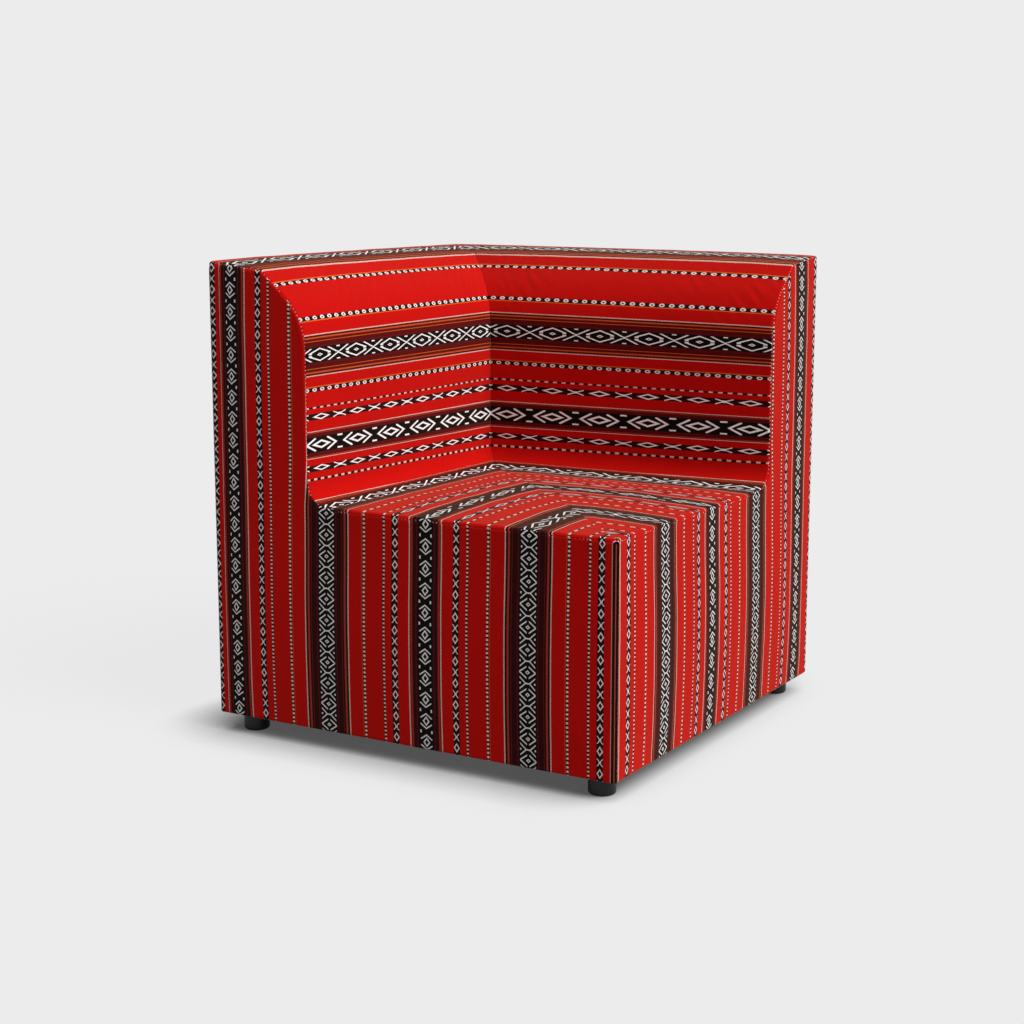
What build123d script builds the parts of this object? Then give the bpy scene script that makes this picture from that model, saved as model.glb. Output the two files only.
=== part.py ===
from build123d import *
import os

os.makedirs("parts", exist_ok=True)

# A corner seat: a square upholstered block on four short feet, with backrests on two sides that meet in a corner.
# The origin is the middle of the footprint, on the floor. X runs to the right-hand face, Y to the back, Z up.
# What is called left mirrors to its right-hand twin in the upright plane through the front and back corners.

# Whole seat
body_width = 800.0
body_height = 800.0  # upholstered body, from its underside to the outer top edge
foot_height = 35.0  # the underside's height over the floor
upright_edge_radius = 12.0

# Section of both backrests, from the outer back inwards
back_depth = 209.0
back_core = 137.5  # outer back to the front of the boards that carry the foam
top_depth = 118.0  # out to the inner top edge
top_fall = 13.0  # the top slopes down towards the sitter
slant_fall = 91.0  # from the outer top edge down to where slant and upright front would meet
outer_edge_radius = 10.0
top_edge_radius = 10.0
shoulder_radius = 120.0
cove_radius = 40.0
seam_lip = 6.0  # flat strip between the cove and the seat's seam

# Seat
seat_height = 392.0  # its corners, over the body's underside
seat_crown = 8.0  # rise of its middle over its corners
seat_edge_radius = upright_edge_radius
seat_skirt = 18.0  # how far the seat's cloth turns down over its front edges

# Cloth and padding
cloth = 1.5
padding = 5.0
hem = 25.0  # cloth turned in under the body
back_seam_drop = 12.0  # from the outer top edge down to the seam on the outer back
dust_cloth = 1.0
dust_margin = 12.0
seat_foam_depth = 100.0
top_foam_depth = 50.0

# Boards and timbers
end_board = 12.0
back_board = 5.0
front_board = 9.0
deck_board = 12.0
rail_thickness = 22.0
rail_height = 70.0
top_rail_height = 45.0
post_size = 45.0
block_size = 70.0
air_hole_radius = 12.0
air_hole_pitch = 100.0
air_hole_count = 5

# Feet and fixings
foot_inset = 48.0  # from both faces of the body to a foot's middle
foot_radius = 23.0
foot_edge_radius = 5.0
stud_radius = 4.0
stud_in_foot = 24.0
stud_in_block = 26.0
insert_radius = 6.0
insert_length = 18.0
screw_radius = 2.5
screw_head_radius = 5.0
screw_head_height = 3.0
screw_grip = 32.0  # length of screw in the rail beyond the block

# Clearances
fit_gap = 0.3
hole_gap = 0.1

# Levels and faces that the pieces share
half = body_width / 2
base_z = foot_height
top_z = base_z + body_height
seat_z = base_z + seat_height
frame_z = base_z + cloth
deck_top_z = seat_z - cloth - seat_foam_depth
deck_low_z = deck_top_z - deck_board
board_top_z = top_z - top_foam_depth
board_low_z = board_top_z - front_board
back_seam_z = top_z - back_seam_drop
skin = cloth + padding
soft_inset = cloth + fit_gap
frame_face = half - skin - end_board  # from the middle to the frame's two show faces
frame_back = half - skin - back_board  # from the middle to the frame's two backs
seam_depth = back_depth + cove_radius + seam_lip
foam_back = half - back_core  # from the middle to the back of the backrest foam
board_back = foam_back + front_board
rail_top_z = frame_z + rail_height
seat_rail_z = deck_low_z - rail_height
diagonal = Plane(origin=(0, 0, 0), z_dir=(1, 1, 0))


def save(piece, label):
    piece.part.label = label
    export_step(piece.part, f"parts/{label}.step")


def moved_in(points, distance):
    """Corners of an open outline, after every side has moved to its right by distance."""
    corners = [Vector(*point) for point in points]
    sides = []
    for start, end in zip(corners, corners[1:]):
        along = (end - start).normalized()
        across = Vector(along.Y, -along.X)
        sides.append((start + across * distance, end + across * distance, along))
    moved = [sides[0][0]]
    for (first, _, heading), (second, _, turned) in zip(sides, sides[1:]):
        reach = (second - first).cross(turned).Z / heading.cross(turned).Z
        moved.append(first + heading * reach)
    return moved + [sides[-1][1]]


def back_line(inset, low_z):
    """The backrest's outside in section, up the outer back, over the top and down the front into the cove."""
    corners = [
        (-half, low_z),
        (-half, top_z),
        (-half + top_depth, top_z - top_fall),
        (-half + back_depth, top_z - slant_fall),
        (-half + back_depth, seat_z),
        (-half + seam_depth, seat_z),
    ]
    radii = [
        outer_edge_radius - inset,
        top_edge_radius - inset,
        shoulder_radius - inset,
        cove_radius + inset,
    ]
    return FilletPolyline(*moved_in(corners, inset), radius=radii)


def end_shape(inset, seat_top, front_x, low_z):
    """The whole side of the seat in outline: the backrest's section and the low front part up to seat_top."""
    with BuildSketch() as shape:
        with BuildLine():
            line = back_line(inset, low_z)
            Polyline(line @ 1, ((line @ 1).X, seat_top), (front_x, seat_top), (front_x, low_z), line @ 0)
        make_face()
    return shape.sketch


def rounded_square(inset, mode=Mode.ADD):
    size = body_width - 2 * inset
    RectangleRounded(size, size, upright_edge_radius - inset, mode=mode)


def mirrored(x, y):
    return (-y[1], -y[0]), (-x[1], -x[0])


def area(x, y, mode=Mode.ADD):
    """A rectangle in a sketch, between two limits each way."""
    with Locations(((x[0] + x[1]) / 2, (y[0] + y[1]) / 2)):
        Rectangle(x[1] - x[0], y[1] - y[0], mode=mode)


def timber(label, x, y, z):
    """A plain rail, post or board between its limits along X, Y and Z."""
    with BuildPart() as piece:
        with BuildSketch(Plane.XY.offset(z[0])):
            area(x, y)
        extrude(amount=z[1] - z[0])
    save(piece, label)
    return piece


# Corner blocks, bored for the feet and for the screws that hold the base rails
foot_places = [
    (half - foot_inset, -half + foot_inset),
    (-half + foot_inset, -half + foot_inset),
    (half - foot_inset, half - foot_inset),
    (-half + foot_inset, half - foot_inset),
]
corner_names = ["front", "left", "right", "back"]
side_low = (-frame_face, -frame_face + block_size)
side_high = (frame_face - block_size, frame_face)
back_low = (-frame_back, -frame_back + block_size)
back_high = (frame_back - block_size, frame_back)
block_spans = [(side_high, side_low), (back_low, side_low), (side_high, back_high), (back_low, back_high)]
x_screw_z = frame_z + rail_height / 3
y_screw_z = frame_z + rail_height * 2 / 3
screw_length = block_size + screw_grip
rail_middle = rail_thickness / 2

# Each screw starts at a block's outer face and runs inwards, along the middle of a rail
screw_places = []
for x, y in block_spans:
    way_x = 1 if x[0] < 0 else -1
    way_y = 1 if y[0] < 0 else -1
    face_x = x[0] if x[0] < 0 else x[1]
    face_y = y[0] if y[0] < 0 else y[1]
    x_head = (face_x, face_y + way_y * rail_middle, x_screw_z)
    y_head = (face_x + way_x * rail_middle, face_y, y_screw_z)
    screw_places.append(Plane(origin=x_head, z_dir=(way_x, 0, 0)))
    screw_places.append(Plane(origin=y_head, z_dir=(0, way_y, 0)))


def screws(gap):
    """All the base screws, or their clearance where gap is over zero."""
    with BuildPart() as shanks:
        with BuildSketch(*screw_places):
            Circle(screw_radius + gap)
        extrude(amount=screw_length + gap)
        with BuildSketch(*screw_places):
            Circle(screw_head_radius + gap)
        extrude(amount=screw_head_height + gap)
    return shanks


screw_room = screws(hole_gap)

for name, (x, y), place in zip(corner_names, block_spans, foot_places):
    with BuildPart() as corner_block:
        with BuildSketch(Plane.XY.offset(frame_z)):
            area(x, y)
        extrude(amount=rail_height)
        with BuildSketch(Plane.XY.offset(frame_z)):
            with Locations(place):
                Circle(insert_radius + hole_gap)
        extrude(amount=insert_length + hole_gap, mode=Mode.SUBTRACT)
        with BuildSketch(Plane.XY.offset(frame_z)):
            with Locations(place):
                Circle(stud_radius + hole_gap)
        extrude(amount=stud_in_block + hole_gap, mode=Mode.SUBTRACT)
        add(screw_room.part, mode=Mode.SUBTRACT)
    save(corner_block, f"corner_block_{name}")

# Base rails between the blocks, bored at both ends for the screws
base_rails = {
    "base_rail_left": ((back_low[1], side_high[0]), (-frame_face, -frame_face + rail_thickness)),
    "base_rail_back_left": ((-frame_back, -frame_back + rail_thickness), (side_low[1], back_high[0])),
}
for label, (x, y) in base_rails.items():
    for side, (across, along) in (("left", (x, y)), ("right", mirrored(x, y))):
        with BuildPart() as base_rail:
            with BuildSketch(Plane.XY.offset(frame_z)):
                area(across, along)
            extrude(amount=rail_height)
            add(screw_room.part, mode=Mode.SUBTRACT)
        save(base_rail, label.replace("left", side))

# Screws through the blocks into the rails' ends
save(screws(0), "base_screws")

# Cross rails under the fronts of the backrests; the right one butts against the left one
inner_x = (-board_back - post_size, -board_back)
inner_y = (board_back, board_back + post_size)
left_y = (-frame_face, -frame_face + post_size)
base_z_span = (frame_z, rail_top_z)
timber("base_cross_left", inner_x, (-frame_face + rail_thickness, frame_back - rail_thickness), base_z_span)
timber("base_cross_right", (inner_x[1], frame_face - rail_thickness), inner_y, base_z_span)

# Posts
post_z = (rail_top_z, board_low_z)
front_x = (frame_face - post_size, frame_face)
outer_x = (-frame_back, -frame_back + post_size)
outer_y = (frame_back - post_size, frame_back)
timber("post_front", front_x, left_y, (rail_top_z, deck_low_z))
timber("post_left", outer_x, left_y, post_z)
timber("post_right", *mirrored(outer_x, left_y), post_z)
timber("post_back", outer_x, outer_y, post_z)
timber("post_inner_left", inner_x, left_y, post_z)
timber("post_inner_right", *mirrored(inner_x, left_y), post_z)
timber("post_inner_back", inner_x, inner_y, post_z)

# Seat rails, ledgers along the backrests and a stretcher, all under the deck
seat_z_span = (seat_rail_z, deck_low_z)
seat_rail_x = (-board_back, frame_face - post_size)
face_rail_y = (-frame_face, -frame_face + rail_thickness)
ledger_front = board_back - rail_thickness
stretcher_y = (-frame_face + ledger_front) / 2
ledger_x = (-ledger_front, frame_face - rail_thickness)
stretcher_span = (stretcher_y - rail_middle, stretcher_y + rail_middle)
timber("seat_rail_left", seat_rail_x, face_rail_y, seat_z_span)
timber("seat_rail_right", *mirrored(seat_rail_x, face_rail_y), seat_z_span)
timber("seat_ledger_left", (-board_back, -ledger_front), (face_rail_y[1], inner_y[1]), seat_z_span)
timber("seat_ledger_right", ledger_x, (ledger_front, board_back), seat_z_span)
timber("seat_stretcher", ledger_x, stretcher_span, seat_z_span)

# Top rails and top boards of the backrests
top_rail_z = (board_low_z - top_rail_height, board_low_z)
outer_rail_x = (-frame_back, -frame_back + rail_thickness)
outer_rail_y = (left_y[1], outer_y[0])
inner_rail_x = (inner_x[1] - rail_thickness, inner_x[1])
inner_rail_y = (left_y[1], inner_y[0])
timber("top_rail_outer_left", outer_rail_x, outer_rail_y, top_rail_z)
timber("top_rail_outer_right", *mirrored(outer_rail_x, outer_rail_y), top_rail_z)
timber("top_rail_inner_left", inner_rail_x, inner_rail_y, top_rail_z)
timber("top_rail_inner_right", *mirrored(inner_rail_x, inner_rail_y), top_rail_z)
top_board_z = (board_low_z, board_top_z)
timber("top_board_left", (-frame_back, -board_back), (-frame_face, frame_back), top_board_z)
timber("top_board_right", (-board_back, frame_face), (board_back, frame_back), top_board_z)

# Boards that carry the backrest foam; the right one butts against the left one
front_board_z = (deck_top_z, board_top_z)
timber("front_board_left", (-board_back, -foam_back), (-frame_face, board_back), front_board_z)
timber("front_board_right", (-foam_back, frame_face), (foam_back, board_back), front_board_z)

# Outer back boards
back_board_z = (frame_z, board_top_z)
timber("back_board_left", (-half + skin, -frame_back), (-frame_face, half - skin), back_board_z)
timber("back_board_right", (-frame_back, frame_face), (frame_back, half - skin), back_board_z)

# Seat deck with a grid of air holes
deck_x = (-board_back, frame_face)
deck_y = (-frame_face, board_back)
deck_middle = (deck_x[0] + deck_x[1]) / 2
with BuildPart() as seat_deck:
    with BuildSketch(Plane.XY.offset(deck_low_z)):
        area(deck_x, deck_y)
        with Locations((deck_middle, -deck_middle)):
            with GridLocations(air_hole_pitch, air_hole_pitch, air_hole_count, air_hole_count):
                Circle(air_hole_radius, mode=Mode.SUBTRACT)
    extrude(amount=deck_board)
save(seat_deck, "seat_deck")


def mirror_twin(piece, label):
    """The right-hand piece that mirrors a left-hand one."""
    with BuildPart() as twin:
        mirror(piece.part, about=diagonal)
    save(twin, label)


def side_plate(outer, inner, inset, front):
    """A sheet in the side's outline between two depths from the left face, up to the seat deck."""
    with BuildPart() as plate:
        with BuildSketch(Plane.XZ.offset(half - outer)):
            add(end_shape(inset, deck_top_z, front, frame_z))
        extrude(amount=outer - inner)
        with BuildSketch(Plane.XY.offset(base_z)):
            rounded_square(soft_inset)
        extrude(amount=body_height, mode=Mode.INTERSECT)
    return plate


# End boards give both sides their outline; the left one laps over the right one at the front corner
board_inset = skin + fit_gap
end_board_left = side_plate(skin, skin + end_board, board_inset, half - skin)
save(end_board_left, "end_board_left")
mirror_twin(side_plate(skin, skin + end_board, board_inset, frame_face), "end_board_right")

# Thin padding over the end boards, rounded at the front corner with the cloth
face_padding_left = side_plate(soft_inset, skin, soft_inset, half - soft_inset)
save(face_padding_left, "face_padding_left")
mirror_twin(side_plate(soft_inset, skin, soft_inset, half - skin), "face_padding_right")

# Padding over the outer back boards
pad_spans = {
    "left": ((-half + soft_inset, -half + skin), (-half + skin, half - soft_inset)),
    "right": ((-half + skin, half - skin), (half - skin, half - soft_inset)),
}
for side, (x, y) in pad_spans.items():
    with BuildPart() as back_padding:
        with BuildSketch(Plane.XY.offset(frame_z)):
            rounded_square(soft_inset)
            area(x, y, mode=Mode.INTERSECT)
        extrude(amount=board_top_z - frame_z)
    save(back_padding, f"back_padding_{side}")

# Backrest foam, mitred where the two backrests meet; its outer end laps over the end board's edge
with BuildPart() as back_foam:
    with BuildSketch(Plane.XZ.offset(half - skin)):
        with BuildLine():
            line = back_line(soft_inset, board_top_z)
            Polyline(
                line @ 1,
                ((line @ 1).X, deck_top_z),
                (-foam_back, deck_top_z),
                (-foam_back, board_top_z),
                line @ 0,
            )
        make_face()
    extrude(amount=-body_width)
    with BuildSketch(Plane.XY.offset(base_z)):
        rounded_square(soft_inset)
    extrude(amount=body_height, mode=Mode.INTERSECT)
    with BuildSketch(Plane.XZ.offset(half - skin)):
        add(end_shape(skin, deck_top_z, half, frame_z))
    extrude(amount=-end_board, mode=Mode.SUBTRACT)
    split(bisect_by=diagonal.offset(-fit_gap / 2), keep=Keep.BOTTOM)
save(back_foam, "back_foam_left")
mirror_twin(back_foam, "back_foam_right")

# Seat block: square, crowned as a very large ball, with rounded front edges
seat_inner = half - seam_depth  # from the middle to the seat's two seams with the backrests
seat_side = half + seat_inner
seat_middle = (half - seat_inner) / 2
half_diagonal = seat_side / 2 * 2**0.5
crown_radius = (half_diagonal**2 + seat_crown**2) / (2 * seat_crown)
crown_z = seat_z + seat_crown - crown_radius


def seat_block(inset, back_gap, low_z):
    """The seat between low_z and its crowned top, moved in by inset, and by back_gap at its seams."""
    with BuildPart() as block:
        with BuildSketch(Plane.XY.offset(low_z)):
            area((-seat_inner + back_gap, half - inset), (-half + inset, seat_inner - back_gap))
        extrude(amount=top_z - low_z)
        with Locations((seat_middle, -seat_middle, crown_z)):
            Sphere(crown_radius - inset, mode=Mode.INTERSECT)
        top = block.faces().sort_by(Axis.Z)[-1]
        corner = block.edges().filter_by(Axis.Z).group_by(Axis.X)[-1].sort_by(Axis.Y)[0]
        front = [top.edges().sort_by(Axis.X)[-1], top.edges().sort_by(Axis.Y)[0]]
        fillet([corner] + front, radius=seat_edge_radius - inset)
    return block


seat_foam = seat_block(soft_inset, fit_gap, deck_top_z)
save(seat_foam, "seat_foam")

# Seat cloth: the block's skin down to its front hems, in two halves that meet on the diagonal
skirt_z = seat_z - seat_skirt
seat_outside = seat_block(0, 0, skirt_z)
seat_inside = seat_block(cloth, 0, skirt_z)
with BuildPart() as seat_cover:
    add(seat_outside.part)
    add(seat_inside.part, mode=Mode.SUBTRACT)
    split(bisect_by=diagonal, keep=Keep.BOTTOM)
save(seat_cover, "seat_cover_left")
mirror_twin(seat_cover, "seat_cover_right")

# Backrest cloth: one width from the seam on the outer back, over the top and down into the cove
with BuildPart() as back_cover:
    with BuildSketch(Plane.XZ.offset(half - cloth)):
        with BuildLine():
            outside = back_line(0, back_seam_z)
            inside = back_line(cloth, back_seam_z)
            Line(outside @ 0, inside @ 0)
            Line(outside @ 1, inside @ 1)
        make_face()
    extrude(amount=-body_width)
    with BuildSketch(Plane.XY.offset(base_z)):
        rounded_square(0)
    extrude(amount=body_height, mode=Mode.INTERSECT)
    split(bisect_by=diagonal, keep=Keep.BOTTOM)
save(back_cover, "back_cover_left")
mirror_twin(back_cover, "back_cover_right")

# Face and outer back cloth: strips of one rounded square ring, each with a hem turned in under the frame
radius = upright_edge_radius
strips = {
    "face_cover_left": ((-half + radius, half - radius), (-half, -half + radius)),
    "face_cover_right": ((half - radius, half), (-half, half - radius)),
    "outer_cover_left": ((-half, -half + radius), (-half, half)),
    "outer_cover_right": ((-half + radius, half), (half - radius, half)),
}
hem_run = (-half + hem, half - hem)
hem_turn = (-half + cloth, -half + hem)
hem_back = (half - hem, half - cloth)
hems = {
    "face_cover_left": (hem_run, hem_turn),
    "face_cover_right": (hem_back, hem_run),
    "outer_cover_left": (hem_turn, hem_run),
    "outer_cover_right": (hem_run, hem_back),
}
for label, (x, y) in strips.items():
    with BuildPart() as cover:
        with BuildSketch(Plane.XY.offset(base_z)):
            rounded_square(0)
            rounded_square(cloth, mode=Mode.SUBTRACT)
            area(x, y, mode=Mode.INTERSECT)
        extrude(amount=back_seam_z - base_z if "outer" in label else body_height)
        if "face" in label:
            with BuildPart(mode=Mode.PRIVATE) as outline:
                with BuildSketch(Plane.XZ):
                    add(end_shape(0, skirt_z, half, base_z))
                extrude(amount=body_width, both=True)
            turned = mirror(outline.part, about=diagonal, mode=Mode.PRIVATE)
            add(turned if "right" in label else outline.part, mode=Mode.INTERSECT)
        with BuildSketch(Plane.XY.offset(base_z)):
            area(*hems[label])
        extrude(amount=cloth)
    save(cover, label)

# Dust cloth under the body, with a hole for each foot's stud
with BuildPart() as dust_cover:
    with BuildSketch(Plane.XY.offset(base_z - dust_cloth)):
        Rectangle(body_width - 2 * dust_margin, body_width - 2 * dust_margin)
        with Locations(*foot_places):
            Circle(stud_radius + hole_gap, mode=Mode.SUBTRACT)
    extrude(amount=dust_cloth)
save(dust_cover, "dust_cover")

# Feet, each with a blind hole for its stud
foot_top_z = base_z - dust_cloth
for name, place in zip(corner_names, foot_places):
    with BuildPart() as foot:
        with BuildSketch():
            with Locations(place):
                Circle(foot_radius)
        extrude(amount=foot_top_z)
        fillet(foot.edges().group_by(Axis.Z)[0], radius=foot_edge_radius)
        with BuildSketch(Plane.XY.offset(foot_top_z)):
            with Locations(place):
                Circle(stud_radius + hole_gap)
        extrude(amount=-stud_in_foot - hole_gap, mode=Mode.SUBTRACT)
    save(foot, f"foot_{name}")

# Studs and threaded inserts, four of each
with BuildPart() as foot_studs:
    with BuildSketch(Plane.XY.offset(foot_top_z - stud_in_foot)):
        with Locations(*foot_places):
            Circle(stud_radius)
    extrude(amount=frame_z + stud_in_block - foot_top_z + stud_in_foot)
save(foot_studs, "foot_studs")
with BuildPart() as block_inserts:
    with BuildSketch(Plane.XY.offset(frame_z)):
        with Locations(*foot_places):
            Circle(insert_radius)
            Circle(stud_radius + hole_gap, mode=Mode.SUBTRACT)
    extrude(amount=insert_length)
save(block_inserts, "block_inserts")
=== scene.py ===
import math
import bmesh
import bpy
import numpy as np
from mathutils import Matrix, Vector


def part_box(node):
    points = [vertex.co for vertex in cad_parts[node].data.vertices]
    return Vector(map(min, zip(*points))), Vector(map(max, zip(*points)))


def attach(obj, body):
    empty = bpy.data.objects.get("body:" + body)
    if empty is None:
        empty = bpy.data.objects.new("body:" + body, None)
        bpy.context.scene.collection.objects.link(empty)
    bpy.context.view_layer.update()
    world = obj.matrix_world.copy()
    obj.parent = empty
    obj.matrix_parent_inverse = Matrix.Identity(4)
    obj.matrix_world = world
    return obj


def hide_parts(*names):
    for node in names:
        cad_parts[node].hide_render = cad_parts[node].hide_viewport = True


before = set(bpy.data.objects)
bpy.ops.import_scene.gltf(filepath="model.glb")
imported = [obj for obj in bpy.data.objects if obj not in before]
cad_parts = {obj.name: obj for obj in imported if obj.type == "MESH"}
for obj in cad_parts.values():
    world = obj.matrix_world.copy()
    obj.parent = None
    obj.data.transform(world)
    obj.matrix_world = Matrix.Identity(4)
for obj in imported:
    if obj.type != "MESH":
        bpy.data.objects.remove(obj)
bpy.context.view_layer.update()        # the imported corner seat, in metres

# Majlis corner seat. The timber, boards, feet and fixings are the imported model's own; the cloth, the
# wadding and the foam are made here as surfaces round it. "Left" is the side at -Y and -X, "right" is its
# mirror image over the diagonal from the back corner to the front corner.
scene = bpy.context.scene
mm = 0.001

body = {
    "half": -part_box("outer_cover_left")[0].x,   # half the width and depth of the seat
    "base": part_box("outer_cover_left")[0].z,    # underside of the body
    "height": 0.8,
    "topDepth": 0.118,                          # outer back to the inner edge of the top
    "topFall": 0.013,
    "shoulder": 0.709,                          # where the slant meets the upright front
    "backDepth": 0.209,
    "seat": 0.392,
    "seam": 0.255,                              # seat cloth starts this far from the outer back
    "skirt": 0.006,                             # seat cloth turns this far down over its front edges
    "backSeam": 0.788,
    "bends": (0.010, 0.010, 0.120, 0.040),      # outer edge, inner edge, shoulder, cove
    "cornerRadius": 0.012,                      # upright corners
    "seatRadius": 0.005,                        # the seat's front edges
    "seamRadius": 0.005,                        # along the stepped outline of each face
    "hem": 0.025,
    "hemRadius": 0.003,
    "lift": 0.012,                              # the padded top is this much fuller at the back corner
    "liftFrom": 0.50,                           # height at which that begins
    "liftPower": 0.6,
}
half, base = body["half"], body["base"]


def placed(name, data):
    # A new object of that name, in the scene
    made = bpy.data.objects.new(name, data)
    scene.collection.objects.link(made)
    return made


# Camera, light and paper
viewpoint = {"place": (1.661, -2.819, 0.946), "turn": 120.92, "dip": 9.93, "lens": 63.69, "sensor": 36.0}
cameraData = bpy.data.cameras.new("camera")
cameraData.lens, cameraData.sensor_width = viewpoint["lens"], viewpoint["sensor"]
camera = placed("camera", cameraData)
camera.location = viewpoint["place"]
camera.rotation_euler = (math.radians(90 - viewpoint["dip"]), 0, math.radians(viewpoint["turn"] - 90))
scene.camera = camera
scene.view_settings.view_transform = "Standard"

light = {"key": 3.3, "keyFrom": (0.85, -0.09, 0.84), "keySpread": 30.0, "around": 0.24}
paper = {
    "tone": (0.84, 0.84, 0.84), "bounce": (0.36, 0.36, 0.36), "own": 0.94, "reach": 40.0,
    # The shade under the seat: how far it reaches, the share of open sky where it is darkest, the span from
    # there to full light, how dark it gets, and the way that counts as open
    "contact": 0.17, "closed": 0.40, "span": 0.50, "darkest": 0.10, "openTo": (0.68, -0.12, 0.72),
}
sun = bpy.data.lights.new("key", "SUN")
sun.energy, sun.angle = light["key"], math.radians(light["keySpread"])
sunObject = placed("key", sun)
towards = np.array(light["keyFrom"]) / np.linalg.norm(light["keyFrom"])
sunObject.rotation_euler = (math.acos(towards[2]), 0, math.atan2(towards[1], towards[0]) + math.pi / 2)
print("camera and key light set")


def linear(red, green, blue):
    # An 8-bit screen colour as the light it stands for: ((c + 0.055) / 1.055) to the power 2.4
    part = np.array((red, green, blue)) / 255
    part = np.where(part <= 0.04045, part / 12.92, ((part + 0.055) / 1.055) ** 2.4)
    return (*part.tolist(), 1.0)


class Bench:
    # Short ways to lay out shader nodes; a value may be a number, a colour or another node's output
    def __init__(self, tree):
        self.tree = tree

    def put(self, socket, value):
        if isinstance(value, bpy.types.NodeSocket):
            self.tree.links.new(value, socket)
        else:
            socket.default_value = value

    def add(self, kind, inputs=None, **settings):
        node = self.tree.nodes.new("ShaderNode" + kind)
        for name, value in settings.items():
            setattr(node, name, value)
        for key, value in (inputs or {}).items():
            self.put(node.inputs[key], value)
        return node

    def calc(self, operation, *values, clamp=False):
        node = self.add("Math", operation=operation, use_clamp=clamp)
        for socket, value in zip(node.inputs, values):
            self.put(socket, value)
        return node.outputs[0]

    def under(self, value, edge, soft=0.25):      # 1 below the edge, 0 above it, over a soft step
        return self.calc("MULTIPLY_ADD", value, -0.5 / soft, 0.5 + edge * 0.5 / soft, clamp=True)

    def over(self, value, edge, soft=0.25):
        return self.calc("MULTIPLY_ADD", value, 0.5 / soft, 0.5 - edge * 0.5 / soft, clamp=True)

    def near(self, value, centre, reach, soft=0.25):
        return self.under(self.calc("ABSOLUTE", self.calc("SUBTRACT", value, centre)), reach, soft)

    def both(self, first, *others):
        for other in others:
            first = self.calc("MULTIPLY", first, other)
        return first

    def either(self, first, *others):
        for other in others:
            first = self.calc("MAXIMUM", first, other)
        return first

    def tint(self, factor, first, second, blend="MIX"):
        node = self.add("Mix", data_type="RGBA", blend_type=blend)
        for socket, value in zip((node.inputs[0], node.inputs[6], node.inputs[7]), (factor, first, second)):
            self.put(socket, value)
        return node.outputs[2]

    def shade(self, colour, amount):              # the colour times a value
        node = self.add("VectorMath", operation="SCALE")
        self.put(node.inputs[0], colour[:3] if isinstance(colour, tuple) else colour)
        self.put(node.inputs[3], amount)
        return node.outputs[0]

    def group(self, tree, inputs):
        node = self.add("Group", node_tree=tree)
        for key, value in inputs.items():
            self.put(node.inputs[key], value)
        return node.outputs


def effectGroup(name, inputs, outputs):
    # A node group with named sockets: its bench, what comes in, and where its results go
    tree = bpy.data.node_groups.new(name, "ShaderNodeTree")
    for label, kind, value in inputs:
        socket = tree.interface.new_socket(label, in_out="INPUT", socket_type="NodeSocket" + kind)
        if value is not None:
            socket.default_value = value
    for label, kind in outputs:
        tree.interface.new_socket(label, in_out="OUTPUT", socket_type="NodeSocket" + kind)
    return Bench(tree), tree.nodes.new("NodeGroupInput").outputs, tree.nodes.new("NodeGroupOutput").inputs


# The woven pattern runs from the middle of a diamond band (A) to the middle of a hexagon band (B) and back.
# All its places are millimetres from the middle of A; everything along the stripes repeats each `repeat`.
sadu = {
    "halfWidth": 194.0,
    "repeat": 36.9,
    "start": 13.2,
    "threads": {
        "black": (5, 4, 5), "soot": (20, 4, 6), "brown": (40, 6, 5), "maroon": (44, 5, 9),
        "plum": (84, 14, 22), "damson": (88, 4, 8), "wine": (120, 10, 10), "red": (196, 7, 5),
        "rust": (168, 62, 42), "orange": (240, 112, 36), "bead": (244, 198, 186), "white": (234, 232, 230),
        "bleached": (255, 254, 252),
    },
    "stripes": (
        (0.0, "black"), (13.4, "maroon"), (15.8, "plum"), (17.8, "maroon"), (23.2, "wine"), (24.6, "rust"),
        (26.6, "wine"), (29.4, "bead"), (31.6, "red"), (52.3, "maroon"), (64.7, "red"), (78.0, "brown"),
        (82.0, "red"), (116.6, "brown"), (121.4, "red"), (149.2, "bead"), (151.4, "soot"), (154.8, "rust"),
        (158.8, "soot"), (161.6, "wine"), (163.6, "maroon"), (173.4, "plum"), (175.4, "maroon"),
        (177.6, "black"),
    ),
    # Middle, half width and, for the orange lines, their share of orange on the faces
    "orangeLines": ((123.0, 0.8, 0.30), (156.8, 0.9, 0.10), (164.6, 0.6, 0.0)),
    "damsonStripes": ((21.4, 8.0), (164.5, 13.1)),
    "beadedLines": ((25.6, 1.0), (30.5, 1.4), (150.3, 1.4), (156.8, 2.2)),
    "vivid": 0.75,                                # share of orange on the backrest
    "bolder": 0.1,                                # added to the figures' half line width there
    "narrow": 58.5, "dots": 80.0, "rings": 119.0,
    "beadPitch": 3.0, "dotPitch": 6.9, "ringPitch": 7.3,
}
thread = {name: linear(*colour) for name, colour in sadu["threads"].items()}


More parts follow.
